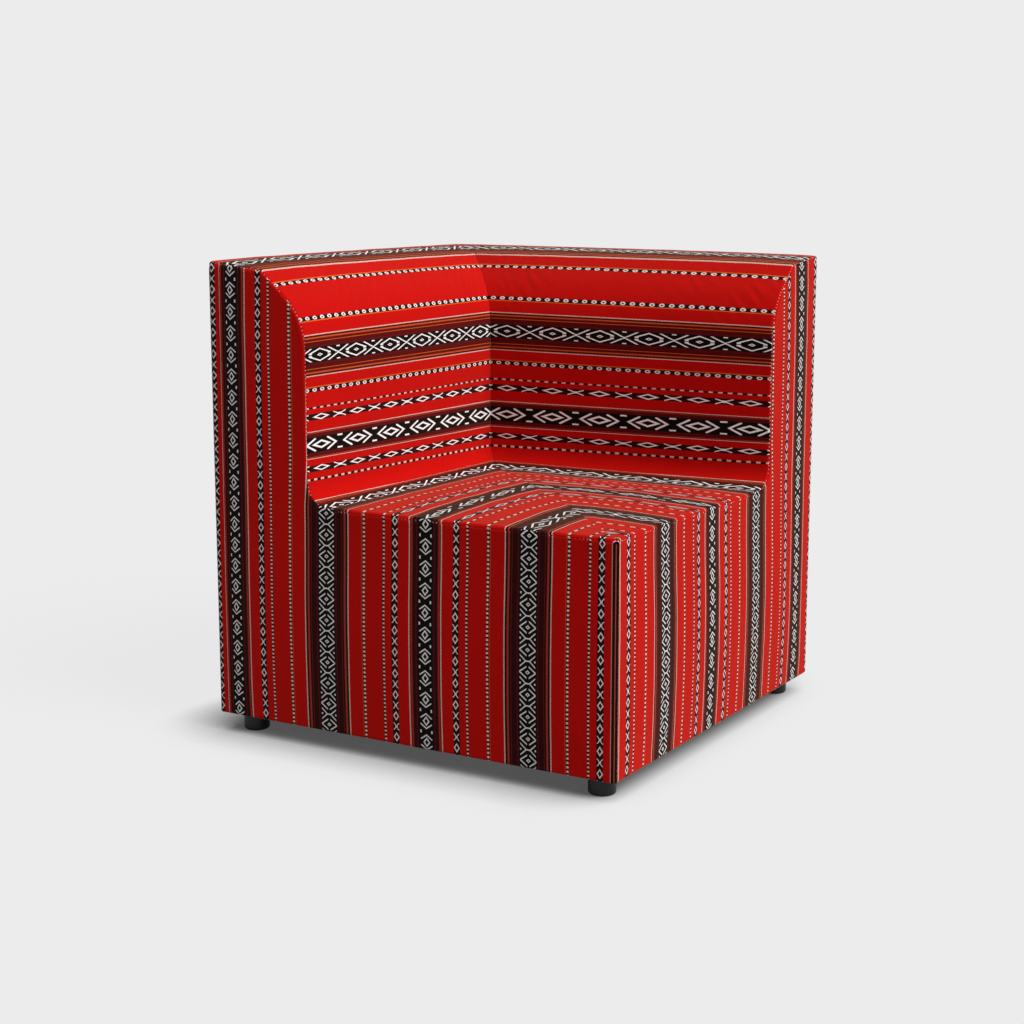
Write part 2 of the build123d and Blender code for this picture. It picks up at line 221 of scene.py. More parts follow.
def saduGroup():
    # Each figure is a product of soft steps on two distances, mirrored about its own middle. Orange is 0 on
    # the faces and 1 on the backrest, where the photo's cloth has other figures and colours.
    bench, given, results = effectGroup(
        "sadu pattern",
        [(label, "Float", 0.0) for label in ("Across", "Along", "Thread", "Orange")],
        [("Color", "Color"), ("Figure", "Float")],
    )
    calc, under, over, near = bench.calc, bench.under, bench.over, bench.near
    both, either = bench.both, bench.either
    across = calc("PINGPONG", given["Across"], sadu["halfWidth"])     # 0 in A, halfWidth in B
    halfRepeat = sadu["repeat"] / 2
    fromDiamond = calc("PINGPONG", calc("SUBTRACT", given["Along"], sadu["start"]), halfRepeat)
    fromCross = calc("SUBTRACT", halfRepeat, fromDiamond)

    ramp = bench.add("ValToRGB", {"Fac": calc("DIVIDE", across, sadu["halfWidth"])})
    ramp.color_ramp.interpolation = "CONSTANT"
    while len(ramp.color_ramp.elements) < len(sadu["stripes"]):
        ramp.color_ramp.elements.new(1.0)
    for element, (place, name) in zip(ramp.color_ramp.elements, sadu["stripes"]):
        element.position, element.color = place / sadu["halfWidth"], thread[name]

    def onBack(value, change):                    # value on the faces, value + change on the backrest
        return calc("MULTIPLY_ADD", given["Orange"], change, value)

    def ring(x, wide, tall, hole, size=1.0):      # a diamond: |x| / wide + |y| / tall from hole to 1
        reach = calc("DIVIDE", calc("MULTIPLY_ADD", x, 1 / wide, calc("DIVIDE", fromDiamond, tall)), size)
        return both(under(reach, 1.0, 0.05), over(reach, hole, 0.05))

    def slope(y, top, fall, x, reach, more=sadu["bolder"]):       # y within reach of top - fall * x
        off = calc("ABSOLUTE", calc("SUBTRACT", calc("MULTIPLY_ADD", x, fall, y), top))
        return under(calc("SUBTRACT", off, onBack(0.0, more)), reach)

    # A: a diamond ring inside two chevrons, with a dot each side between the repeats
    chevrons = both(
        slope(fromDiamond, onBack(12.8, 1.6), onBack(0.72, 0.08), across, 1.35), under(across, 11.2),
        over(calc("SUBTRACT", fromDiamond, onBack(0.0, 0.9)), 4.6)
    )
    sideDots = both(near(across, 10.6, 1.4), under(fromCross, 2.5))
    ringA = ring(across, 6.7, 8.5, 0.56, onBack(1.0, 0.12))
    figureA = both(under(across, 13.2), either(ringA, chevrons, sideDots))

    # B: an open hexagon round an eye, then a cross with a dot at each side; on the backrest the hexagon has
    # upright sides and the cross is narrower
    inB = calc("SUBTRACT", sadu["halfWidth"], across)
    sided = calc("MAXIMUM", inB, onBack(0.0, 4.0))
    hexagon = both(
        slope(fromDiamond, onBack(11.0, 2.1), onBack(0.72, 0.25), sided, 1.35),
        over(calc("ADD", inB, onBack(0.0, 1.2)), 2.2), under(inB, 15.4)
    )
    arms = both(
        slope(fromCross, onBack(-3.2, 3.3), onBack(-0.88, 0.20), inB, 1.3, -0.25),
        over(calc("ADD", inB, onBack(0.0, 1.7)), 3.2), under(inB, 14.6)
    )
    bar = both(under(calc("ADD", inB, onBack(0.0, 2.6)), 4.6), under(fromCross, 1.1))
    crossDots = both(near(inB, 13.8, 1.3), under(fromCross, 1.6))
    eye = ring(inB, 4.5, 3.6, 0.42, onBack(1.0, -0.22))
    figureB = both(under(inB, 16.0), either(hexagon, eye, arms, bar, crossDots))

    # The narrow band: small diamonds and crosses in turn
    inNarrow = calc("ABSOLUTE", calc("SUBTRACT", across, sadu["narrow"]))
    spread = calc("MULTIPLY_ADD", calc("MAXIMUM", calc("SUBTRACT", fromCross, 1.6), 0.0), 0.8, 1.1)
    smallCross = both(near(inNarrow, spread, 0.95), under(fromCross, 6.3))
    smallBar = both(under(inNarrow, 1.2), under(fromCross, 1.8))
    smallDiamond = ring(inNarrow, 5.7, 8.4, 0.6)
    figureNarrow = both(under(inNarrow, 6.2), either(smallDiamond, smallCross, smallBar))

    # Dots and rings on their thin dark lines
    dotStep = calc("PINGPONG", given["Along"], sadu["dotPitch"] / 2)
    dots = both(near(across, sadu["dots"], 1.8), under(dotStep, 1.55, 0.3))
    ringStep = calc("DIVIDE", calc("PINGPONG", given["Along"], sadu["ringPitch"] / 2), 2.1)
    ringSide = calc("DIVIDE", calc("ABSOLUTE", calc("SUBTRACT", across, sadu["rings"])), 2.3)
    ringReach = calc("SQRT", calc("ADD", calc("POWER", ringStep, 2.0), calc("POWER", ringSide, 2.0)))
    hole = both(under(ringReach, 0.42, 0.08), given["Orange"])        # the faces have plain squares
    rings = calc("SUBTRACT", under(ringReach, 1.0, 0.08), hole, clamp=True)

    def stripes(lines):
        return either(*(near(across, middle, reach) for middle, reach in lines))

    # Beaded lines alternate with the thread under them
    beadStep = calc("PINGPONG", given["Thread"], sadu["beadPitch"] / 2)
    gap = both(stripes(sadu["beadedLines"]), over(beadStep, 0.95, 0.2))

    figure = either(figureA, figureB, figureNarrow)
    orange = either(*(
        both(near(across, middle, reach), onBack(share, sadu["vivid"] - share))
        for middle, reach, share in sadu["orangeLines"]
    ))
    damson = both(stripes(sadu["damsonStripes"]), given["Orange"])
    colour = bench.tint(damson, ramp.outputs["Color"], thread["damson"], "LIGHTEN")
    colour = bench.tint(orange, colour, thread["orange"])
    colour = bench.tint(calc("MULTIPLY", gap, 0.7), colour, thread["wine"])
    colour = bench.tint(dots, colour, thread["bead"])
    colour = bench.tint(rings, colour, bench.tint(given["Orange"], thread["bead"], thread["white"]))
    colour = bench.tint(figure, colour, bench.tint(given["Orange"], thread["white"], thread["bleached"]))
    bench.put(results["Color"], colour)
    bench.put(results["Figure"], either(figure, dots, rings))
    return bench.tree


def weaveGroup():
    # Ribs along the stripes with the cross threads dipping over and under: the height is a zigzag across
    # plus a zigzag along that is shifted half a step on every second rib. Its shade is the slub's uneven
    # tone, with painted shade in the dips
    bench, given, results = effectGroup(
        "ribbed weave",
        [
            ("Across", "Float", 0.0), ("Along", "Float", 0.0), ("Pitch", "Float", 0.9),
            ("Slub", "Float", 0.15),
        ],
        [("Height", "Float"), ("Shade", "Float")],
    )
    calc = bench.calc
    place = bench.add("CombineXYZ", {"X": given["Across"], "Y": calc("MULTIPLY", given["Along"], 0.12)})
    slub = bench.add("TexNoise", {"Vector": place.outputs[0], "Scale": 0.9, "Detail": 3.0}).outputs[0]
    drift = calc("MULTIPLY", calc("SUBTRACT", slub, 0.5), 0.8)
    ribs = calc("DIVIDE", calc("ADD", given["Across"], drift), given["Pitch"])
    shift = calc("MULTIPLY", calc("MODULO", calc("ABSOLUTE", calc("FLOOR", ribs)), 2.0), 0.5)
    picks = calc("DIVIDE", given["Along"], calc("MULTIPLY", given["Pitch"], 1.6))
    rib = calc("PINGPONG", ribs, 0.5)
    pick = calc("PINGPONG", calc("ADD", picks, shift), 0.5)
    height = calc("ADD", calc("MULTIPLY", rib, 1.2), calc("MULTIPLY", pick, 0.8))
    bench.put(results["Height"], height)
    # Shade: the slub's uneven tone, times painted shade that darkens the colour in the dips by 0.9 + 0.16 *
    # height
    shade = calc("MULTIPLY_ADD", calc("SUBTRACT", slub, 0.5), given["Slub"], 1.0)
    bench.put(results["Shade"], calc("MULTIPLY", shade, calc("MULTIPLY_ADD", height, 0.16, 0.9)))
    return bench.tree


def cloudGroup():
    # Slow uneven patches, as in dye, wood or moulded plastic: 1 + 2 * amount * (noise - 0.5)
    bench, given, results = effectGroup(
        "uneven patches",
        [
            ("Vector", "Vector", None), ("Scale", "Float", 6.0), ("Amount", "Float", 0.1),
            ("Detail", "Float", 3.0),
        ],
        [("Shade", "Float"), ("Mask", "Float")],
    )
    mask = bench.add("TexNoise", {label: given[label] for label in ("Vector", "Scale", "Detail")}).outputs[0]
    bench.put(results["Mask"], mask)
    amount = bench.calc("MULTIPLY", given["Amount"], 2.0)
    bench.put(results["Shade"], bench.calc("MULTIPLY_ADD", bench.calc("SUBTRACT", mask, 0.5), amount, 1.0))
    return bench.tree


effects = {"sadu": saduGroup(), "weave": weaveGroup(), "cloud": cloudGroup()}


def newMaterial(name, **shader):
    # A material with its own Principled shader; constant values go straight to the shader's sockets
    material = bpy.data.materials.new(name)
    material.use_nodes = True
    material.node_tree.nodes.clear()
    bench = Bench(material.node_tree)
    surface = bench.add("BsdfPrincipled", {key.replace("_", " "): value for key, value in shader.items()})
    bench.put(bench.add("OutputMaterial").inputs["Surface"], surface.outputs[0])
    return material, bench, surface.inputs


def objectPlace(bench):
    return bench.add("TexCoord").outputs["Object"]


def cloud(bench, scale, amount, detail=3.0):
    given = {"Vector": objectPlace(bench), "Scale": scale, "Amount": amount, "Detail": detail}
    return bench.group(effects["cloud"], given)


def coat(bench, surface, colour, rough, height, strength, distance):
    # Colour, roughness and relief of a shader. Roughness is given as (value, slope, start) and is
    # start + slope * value.
    bench.put(surface["Base Color"], colour)
    bench.put(surface["Roughness"], bench.calc("MULTIPLY_ADD", *rough))
    relief = bench.add("Bump", {"Height": height, "Strength": strength, "Distance": distance})
    bench.put(surface["Normal"], relief.outputs[0])


def saduCloth(name, orange, stitchAndShadeFrom=None):
    # The woven pattern, darkened in the weave's dips as painted shade, and shaded by slow patches of dye and
    # by fine ones. Given a value for the seam marks, thread ends show along the seam beside the face, pale
    # and dark in turn, where slow patches pass it: stitches, with painted highlight and painted shade of the
    # puckers round them.
    material, bench, surface = newMaterial(
        name, Specular_IOR_Level=0.05, Sheen_Weight=0.2, Sheen_Roughness=0.4,
        Sheen_Tint=(1.0, 0.66, 0.40, 1.0)
    )

    def millimetres(layer):
        place = bench.add("SeparateXYZ", {"Vector": bench.add("UVMap", uv_map=layer).outputs[0]})
        return [bench.calc("MULTIPLY", place.outputs[axis], 1000.0) for axis in ("X", "Y")]
    patternAcross, patternAlong = millimetres("pattern")
    threadAcross, threadAlong = millimetres("threads")
    sheet = bench.group(effects["sadu"], {
        "Across": patternAcross, "Along": patternAlong, "Thread": threadAlong, "Orange": orange
    })
    weave = bench.group(effects["weave"], {"Across": threadAcross, "Along": threadAlong})
    colour = sheet["Color"]
    if stitchAndShadeFrom is not None:
        # Seam marks: real stitches, with painted highlight in the pale dashes and painted shade in the dark
        # ones, as puckers at the seam would show
        patches = bench.over(cloud(bench, 38.0, 0.1)["Mask"], stitchAndShadeFrom, 0.03)
        rim = bench.both(bench.under(threadAlong, 1.5, 0.5), patches)
        dark = bench.under(bench.calc("PINGPONG", threadAcross, 3.4), 1.1, 0.5)
        colour = bench.tint(rim, colour, bench.tint(dark, thread["brown"], thread["bead"]))
    dye = cloud(bench, 7.0, 0.07)["Shade"]
    fine = cloud(bench, 240.0, 0.09)["Shade"]
    colour = bench.shade(colour, bench.both(weave["Shade"], dye, fine))
    rough = bench.calc("MULTIPLY_ADD", weave["Height"], -0.08, 0.84)
    height = bench.calc("MULTIPLY_ADD", sheet["Figure"], 0.9, weave["Height"])
    coat(bench, surface, colour, (sheet["Figure"], -0.06, rough), height, 0.35, 0.00025)
    return material


def foamMaterial():
    # Cut foam, yellowed in patches, with a pore in every Voronoi cell, darkened towards its middle as
    # painted shade
    material, bench, surface = newMaterial("cutFoam", Specular_IOR_Level=0.2)
    pores = bench.add("TexVoronoi", {"Vector": objectPlace(bench), "Scale": 420.0}).outputs["Distance"]
    colour = bench.tint(cloud(bench, 4.0, 0.12)["Mask"], linear(236, 222, 178), linear(226, 204, 148))
    # Painted shade: the colour is darkest at each pore's middle, by 0.78 + 0.35 * distance
    colour = bench.shade(colour, bench.calc("MULTIPLY_ADD", pores, 0.35, 0.78))
    coat(bench, surface, colour, (pores, -0.1, 0.95), pores, 0.5, 0.0008)
    return material


def waddingMaterial():
    # White fibres: distorted noise in the colour, the roughness and the relief
    material, bench, surface = newMaterial("whiteWadding", Sheen_Weight=0.2, Specular_IOR_Level=0.2)
    given = {"Vector": objectPlace(bench), "Scale": 260.0, "Detail": 6.0, "Distortion": 1.6}
    fibre = bench.add("TexNoise", given).outputs[0]
    colour = bench.tint(fibre, linear(222, 220, 212), linear(246, 245, 240))
    coat(bench, surface, colour, (fibre, 0.1, 0.85), fibre, 0.7, 0.0012)
    return material


def dustClothMaterial():
    # Black non-woven cloth: pressed dots on a grid, with a felted surface between them
    material, bench, surface = newMaterial("dustCloth", Specular_IOR_Level=0.25)
    place = bench.add("SeparateXYZ", {"Vector": objectPlace(bench)}).outputs
    steps = [bench.calc("PINGPONG", bench.calc("MULTIPLY", place[axis], 1000.0), 1.1) for axis in ("X", "Y")]
    dots = bench.both(*(bench.under(step, 0.45, 0.15) for step in steps))
    felt = cloud(bench, 300.0, 0.35, 5.0)
    relief = bench.calc("SUBTRACT", felt["Mask"], dots)
    colour = bench.shade(linear(34, 34, 36), felt["Shade"])
    coat(bench, surface, colour, (dots, -0.35, 0.9), relief, 0.4, 0.0004)
    return material


def timberMaterial(name, pale, dark, ringScale, along="X"):
    # Sawn softwood or plywood: rings stretched along the piece, with a finer grain over them
    material, bench, surface = newMaterial(name, Specular_IOR_Level=0.3)
    stretch = {"X": (0.6, 9.0, 9.0), "Z": (9.0, 9.0, 0.6)}[along]
    place = bench.add("Mapping", {"Vector": objectPlace(bench), "Scale": stretch}).outputs[0]
    given = {"Vector": place, "Scale": ringScale, "Distortion": 5.0, "Detail": 3.0}
    rings = bench.add("TexWave", given).outputs[1]
    grain = bench.add("TexNoise", {"Vector": place, "Scale": 40.0, "Detail": 6.0}).outputs[0]
    colour = bench.tint(bench.calc("MULTIPLY", rings, 0.7), linear(*pale), linear(*dark))
    colour = bench.shade(colour, bench.calc("MULTIPLY_ADD", grain, 0.4, 0.8))
    coat(bench, surface, colour, (grain, 0.25, 0.6), bench.calc("ADD", rings, grain), 0.3, 0.0006)
    return material


def hardboardMaterial():
    material, bench, surface = newMaterial("hardboard", Specular_IOR_Level=0.35)
    flecks = cloud(bench, 180.0, 0.3, 6.0)["Mask"]
    colour = bench.tint(flecks, linear(118, 78, 46), linear(150, 104, 64))
    coat(bench, surface, colour, (flecks, 0.3, 0.5), flecks, 0.3, 0.0004)
    return material


def zincMaterial():
    material, bench, surface = newMaterial("zincSteel", Metallic=1.0)
    spangle = cloud(bench, 220.0, 0.2, 4.0)["Mask"]
    colour = bench.tint(spangle, linear(164, 168, 172), linear(206, 208, 210))
    coat(bench, surface, colour, (spangle, 0.3, 0.22), spangle, 0.15, 0.0002)
    return material


def footMaterial():
    # Satin black moulding: a fine spark-eroded skin, scuffed paler round the bottom edge
    material, bench, surface = newMaterial("blackMoulding", Specular_IOR_Level=0.32)
    skin = cloud(bench, 900.0, 0.2, 2.0)["Mask"]
    scuffs = cloud(bench, 90.0, 0.5, 5.0)["Mask"]
    heightAbove = bench.add("SeparateXYZ", {"Vector": objectPlace(bench)}).outputs["Z"]
    worn = bench.both(bench.under(heightAbove, 0.005, 0.004), bench.over(scuffs, 0.56, 0.06))
    rough = bench.calc("MULTIPLY_ADD", skin, 0.16, 0.34)
    relief = bench.calc("MULTIPLY_ADD", scuffs, 0.4, skin)
    colour = bench.tint(worn, linear(8, 8, 9), linear(40, 39, 38))
    coat(bench, surface, colour, (worn, 0.25, rough), relief, 0.25, 0.0002)
    return material


finish = {
    "cloth": saduCloth("saduCloth", 0.0),
    "backCloth": saduCloth("saduClothBack", 1.0, stitchAndShadeFrom=0.44),     # the same cloth where its orange shows
    "seatCloth": saduCloth("saduClothSeat", 0.0, stitchAndShadeFrom=0.57),
    "foam": foamMaterial(),
    "wadding": waddingMaterial(),
    "dust_cloth": dustClothMaterial(),
    "timber": timberMaterial("pineFrame", (222, 184, 128), (184, 134, 80), 2.2),
    "plywood": timberMaterial("birchPlywood", (226, 200, 156), (198, 162, 112), 1.2, "Z"),
    "hardboard": hardboardMaterial(),
    "zinc_steel": zincMaterial(),
    "foot_plastic": footMaterial(),
}
print("materials made:", ", ".join(finish))

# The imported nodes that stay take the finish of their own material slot
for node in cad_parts.values():
    slotName = node.data.materials[0].name.split(".")[0]
    node.data.materials.clear()
    node.data.materials.append(finish.get(slotName, finish["cloth"]))


def dressed(piece, look, node=None, thick=0.0):
    # The material, a wall that grows inwards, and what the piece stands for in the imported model
    piece.data.materials.clear()
    piece.data.materials.append(finish[look])
    if thick:
        wall = piece.modifiers.new("thickness", "SOLIDIFY")
        wall.thickness, wall.offset = thick, -1
    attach(piece, "root")
    if node:
        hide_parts(node)
    return piece


def unit(vector):
    return vector / np.linalg.norm(vector)


def bentLine(corners, bends, dense=60, count=1601):
    # Straight runs between the corners, joined by arcs that touch both runs. With h half the angle between
    # the runs, an arc of radius r is centred on the bisector, r / sin(h) from the corner, and starts
    # r / tan(h) away from it.
    corners = [np.array(corner, float) for corner in corners]
    line = [corners[0][None]]
    for before, corner, after, bend in zip(corners, corners[1:], corners[2:], bends):
        toBefore, toAfter = unit(before - corner), unit(after - corner)
        h = np.arccos(toBefore @ toAfter) / 2
        centre = corner + unit(toBefore + toAfter) * bend / np.sin(h)
        first, last = (corner + way * bend / np.tan(h) - centre for way in (toBefore, toAfter))
        turn = np.pi - 2 * h
        t = np.linspace(0, 1, dense)[:, None]
        line.append(centre + (first * np.sin((1 - t) * turn) + last * np.sin(t * turn)) / np.sin(turn))
    line.append(corners[-1][None])
    line = np.concatenate(line)
    run = np.concatenate([[0], np.cumsum(np.linalg.norm(np.diff(line, axis=0), axis=1))])
    even = np.linspace(0, run[-1], count)
    return np.stack([np.interp(even, run, line[:, axis]) for axis in (0, 1)], 1), even


# The backrest's section as (distance from the outer back, height): seam, top, slant, upright front, cove
section, sectionRun = bentLine(
    [
        (0, body["backSeam"]), (0, body["height"]), (body["topDepth"], body["height"] - body["topFall"]),
        (body["backDepth"], body["shoulder"]), (body["backDepth"], body["seat"]),
        (body["seam"], body["seat"]),
    ],
    body["bends"],
)
sectionWay = np.gradient(section, sectionRun, axis=0)
sectionWay /= np.linalg.norm(sectionWay, axis=1)[:, None]
sectionInward = np.stack([sectionWay[:, 1], -sectionWay[:, 0]], 1)
topStart = 40                                     # past the bend at the outer edge
topEnd = int(np.argmax(section[:, 0] > body["topDepth"] - 0.001))
slantEnd = int(np.argmax(section[:, 0] > body["backDepth"] - 0.010))


def runAtDepth(depth):        # on the top and the slant
    return np.interp(depth, section[topStart:slantEnd, 0], sectionRun[topStart:slantEnd])


def runAtHeight(height):      # on the slant and the upright front
    return np.interp(-height, -section[topEnd:, 1], sectionRun[topEnd:])


def alongSection(run, values):
    # Both columns of the values at those places along the section
    return np.stack([np.interp(run, sectionRun, values[:, axis]) for axis in (0, 1)], -1)


def graded(count, tight=0.55):
    # Shares from 0 to 1, closer together at both ends: t - tight * sin(2 pi t) / (2 pi)
    t = np.linspace(0, 1, count + 1)
    return t - tight * np.sin(2 * np.pi * t) / (2 * np.pi)


def roundOver(a, e, radius):
    # Rounds the sharp edge where two faces meet, for points a from one face and e from the other: within the
    # radius a point goes to the arc about (radius, radius), along its own line to that centre.
    near = (a < radius) & (e < radius)
    da, de = radius - a, radius - e
    reach = np.maximum(np.hypot(da, de), 1e-9)
    return np.where(near, radius - radius * da / reach, a), np.where(near, radius - radius * de / reach, e)


def roundPlan(points):
    # Rounds the four upright corners: past the corner's centre a point is drawn in by
    # max(|dx|, |dy|) / hypot(dx, dy)
    inner = half - body["cornerRadius"]
    d = np.abs(points[..., :2]) - inner
    corner = (d > 0).all(-1)
    ratio = np.where(corner, np.abs(d).max(-1) / np.maximum(np.hypot(d[..., 0], d[..., 1]), 1e-9), 1.0)
    rounded = np.sign(points[..., :2]) * (inner + d * ratio[..., None])
    moved = points.copy()
    moved[..., :2] = np.where(corner[..., None], rounded, points[..., :2])
    return moved


def outward(points):
    # Unit normals of a grid, from the cross product of its two directions
    across, along = np.gradient(points, axis=0), np.gradient(points, axis=1)
    normal = np.cross(across, along)
    return normal / np.maximum(np.linalg.norm(normal, axis=-1, keepdims=True), 1e-12)


def ripples(a, b, heading, wavelength, seed, count=6, spread=0.5):
    # A sum of sines whose headings and lengths differ a little, from -1 to 1
    rng = np.random.default_rng(seed)
    headings = heading + spread * rng.uniform(-1, 1, count)
    lengths, phases = rng.uniform(0.7, 1.4, count), rng.uniform(0, 6.28, count)
    total = np.zeros(np.broadcast(a, b).shape)
    for turn, scale, phase in zip(headings, lengths, phases):
        total += np.sin(2 * np.pi * (a * math.cos(turn) + b * math.sin(turn)) / (wavelength * scale) + phase)
    return total / count


def meshFromGrid(name, points, cells, layers, flip=False):
    # Quads between neighbouring grid points where `cells` is true. Points that fall together are merged, a
    # quad with two of them becomes a triangle, and each layer of UVs keeps its own value at every corner.
    # What comes back is the object and the vertex of each grid point, or -1 where it has none.
    rows, columns = points.shape[:2]
    flat = points.reshape(-1, 3)
    keys, first, merged = np.unique(np.round(flat, 6), axis=0, return_index=True, return_inverse=True)
    merged = merged.reshape(rows, columns)
    cell = cornersOf(merged)[cells]
    corners = {key: layer[cells] for key, layer in layers.items()}
    if flip:
        cell = cell[:, ::-1]
        corners = {key: value[:, ::-1] for key, value in corners.items()}
    repeated = cell == np.roll(cell, 1, axis=1)
    quads, thirds = repeated.sum(1) == 0, repeated.sum(1) == 1
    kept = ~repeated[thirds]
    used = np.unique(np.concatenate([cell[quads].ravel(), cell[thirds].ravel()]))
    lookup = np.zeros(len(keys), int)
    lookup[used] = np.arange(len(used))
    faces = lookup[cell[quads]].tolist() + lookup[cell[thirds][kept].reshape(-1, 3)].tolist()
    mesh = bpy.data.meshes.new(name)
    mesh.from_pydata(flat[first][used], [], faces)
    for key, value in corners.items():
        uv = np.concatenate([value[quads].reshape(-1, 2), value[thirds][kept].reshape(-1, 2)])
        mesh.uv_layers.new(name=key).data.foreach_set("uv", uv.astype(np.float32).ravel())
    mesh.polygons.foreach_set("use_smooth", np.ones(len(mesh.polygons), bool))
    mesh.update()
    return placed(name, mesh), np.where(np.isin(merged, used), lookup[merged], -1)


def cornersOf(values):
    # What the grid points hold, at the four corners of every cell
    return np.stack([values[:-1, :-1], values[1:, :-1], values[1:, 1:], values[:-1, 1:]], 2)


def atVertices(across, along):
    # A UV layer whose values belong to the grid points, so neighbouring cells share them
    return cornersOf(np.stack([np.broadcast_to(across, along.shape), along], -1))


def mirrored(points):
    # Over the upright plane through the back corner and the front corner: (x, y) to (-y, -x)
    return np.stack([-points[..., 1], -points[..., 0], points[..., 2]], -1)


def edgeOf(cells):
    # True at the grid points that don't have a cell on all four sides
    around = np.zeros((cells.shape[0] + 1, cells.shape[1] + 1), int)
    for i in (0, 1):
        for j in (0, 1):
            around[i:i + cells.shape[0], j:j + cells.shape[1]] += cells
    return around < 4


# Depth and width of the furrows that the seams pull into the cloth
seams = {"edge": (0.0010, 0.0035), "side": (0.0006, 0.003), "end": (0.0009, 0.003), "mitre": (0.0008, 0.003)}


def furrow(distance, depth, width):
    # depth * exp(-(distance / width) ** 2)
    return depth * np.exp(-((distance / width) ** 2))


# Face cloth: the flat side towards the viewer, cut in the seat's stepped outline
face = {
    "cells": {"back": 56, "front": 104, "hem": 6, "low": 76, "high": 92},
    "crown": 0.0022,
    # (mm from the outer back, pattern place there) on each side
    "bands": {
        "left": (
            (0, -64.5), (16, -52.5), (24.5, -30.5), (48, 0), (246, 194), (447, 388), (643, 582),
            (773, 717.5), (800, 744),
        ),
        "right": (
            (0, -64.5), (16, -52.5), (40, -36), (76, 0), (266, 194), (452, 388), (631, 582),
            (760, 717.5), (800, 757),
        ),
    },
    # How far the stripes lean outwards, over which heights, and over which depths beside the front edge
    "lean": {"left": 0.0035, "right": 0.0070}, "leanFrom": 0.25, "leanRise": 0.5,
    "edgeLean": 0.0060, "edgeRise": 0.08, "edgeFrom": 0.15, "edgeWide": 0.05,
    "pucker": 0.0005, "puckerLength": 0.030, "ripple": 0.00022,
    "seamRun": 0.020,                             # the seam's radius grows to its full size over this run
    "coveRun": 0.070,                             # the cove and the last of the upright, along the section
    "coveRise": 0.066,
}


def bandAt(u, side, v=0.0):
    # The stripes lean a little outwards above the seat, most beside the backrest's front edge: each lean
    # times its clipped shares of the height and of the depth
    lean = face["lean"][side] * np.clip((v - face["leanFrom"]) / face["leanRise"], 0, 1)
    besideEdge = face["edgeLean"] * np.clip((v - body["seat"]) / face["edgeRise"], 0, 1)
    lean = lean + besideEdge * np.clip((u - face["edgeFrom"]) / face["edgeWide"], 0, 1)
    places, values = np.array(face["bands"][side]).T
    return np.interp((u - lean) * 1000, places, values) * mm


def upTheSide(start, length, runs, share):
    # A straight stretch up from the start, then on along the section from the first run to the last
    way = share * (length + abs(runs[1] - runs[0]))
    straight = start + np.stack([np.zeros_like(way), np.minimum(way, length)], -1)
    curved = alongSection(runs[0] + np.sign(runs[1] - runs[0]) * np.maximum(way - length, 0), section)
    return np.where((way <= length)[..., None], straight, curved)


def between(share, first, last):
    return (1 - share) * first + share * last


def faceGrid():
    # Lower part: u across, v up. Upper part: a patch between its four sides (bottom, top, left and the
    # outline on the right), which is the sum of the two blends of opposite sides less the blend of corners.
    n = face["cells"]
    skirtLine = body["seat"] - body["skirt"]
    low, side = n["hem"] + n["low"], n["back"] + 1
    front = body["seam"] + graded(n["front"], tight=0.4)[1:] * (2 * half - body["seam"])
    u = np.concatenate([graded(n["back"], tight=0.4) * body["seam"], front])
    flat = np.zeros((len(u), low + n["high"] + 1, 2))
    turned = np.zeros(flat.shape[:2])             # how far a hem point lies in under the body
    flat[..., 0] = u[:, None]
    hemShare = np.linspace(1, 0, n["hem"] + 1)[:-1]
    turned[:, :n["hem"]] = np.minimum(body["hem"], np.minimum(u, 2 * half - u))[:, None] * hemShare
    flat[:, n["hem"]:low + 1, 1] = graded(n["low"], tight=0.4) * skirtLine

    s = (u[:side] / u[side - 1])[:, None]
    t = np.linspace(0, 1, n["high"] + 1)[None, :]
    innerEdge = runAtDepth(body["topDepth"] - 0.003)
    bend = body["bends"][0]
    outerEdge = body["height"] - body["backSeam"] - bend + bend * np.pi / 4
    left = upTheSide(np.array([0, skirtLine]), body["backSeam"] - skirtLine, (0.0, outerEdge), t)
    right = upTheSide(np.array([body["seam"], skirtLine]), body["skirt"], (sectionRun[-1], innerEdge), t)
    bottom = np.stack([u[:side], np.full(side, skirtLine)], -1)[:, None]
    top = alongSection(outerEdge + s * (innerEdge - outerEdge), section)
    s, t = s[..., None], t[..., None]
    corners = between(s, between(t, left[:, :1], left[:, -1:]), between(t, right[:, :1], right[:, -1:]))
    flat[:side, low:] = between(t, bottom, top) + (1 - s) * left + s * right - corners
    flat[side:, low + 1:] = flat[side:, low, None]
    cells = np.ones((len(u) - 1, flat.shape[1] - 1), bool)
    cells[n["back"]:, low:] = False
    return flat, turned, cells, low


def toOutline(flat):
    # Distance, run and inward direction of the nearest point of the backrest's section
    gap = np.linalg.norm(flat[:, None] - section[None, ::2], axis=-1)
    index = gap.argmin(1) * 2
    return gap.min(1), sectionRun[index], sectionInward[index]


def edgeRadius(run):
    # Nothing at the outer back seam, the seam radius over most of the outline, the seat's radius in the
    # cove: both changes are clipped shares of the run
    rise = np.clip(run / face["seamRun"], 0, 1) ** 2
    cove = np.clip((run - (sectionRun[-1] - face["coveRun"])) / face["coveRise"], 0, 1)
    return body["seamRadius"] * rise + (body["seatRadius"] - body["seamRadius"]) * cove


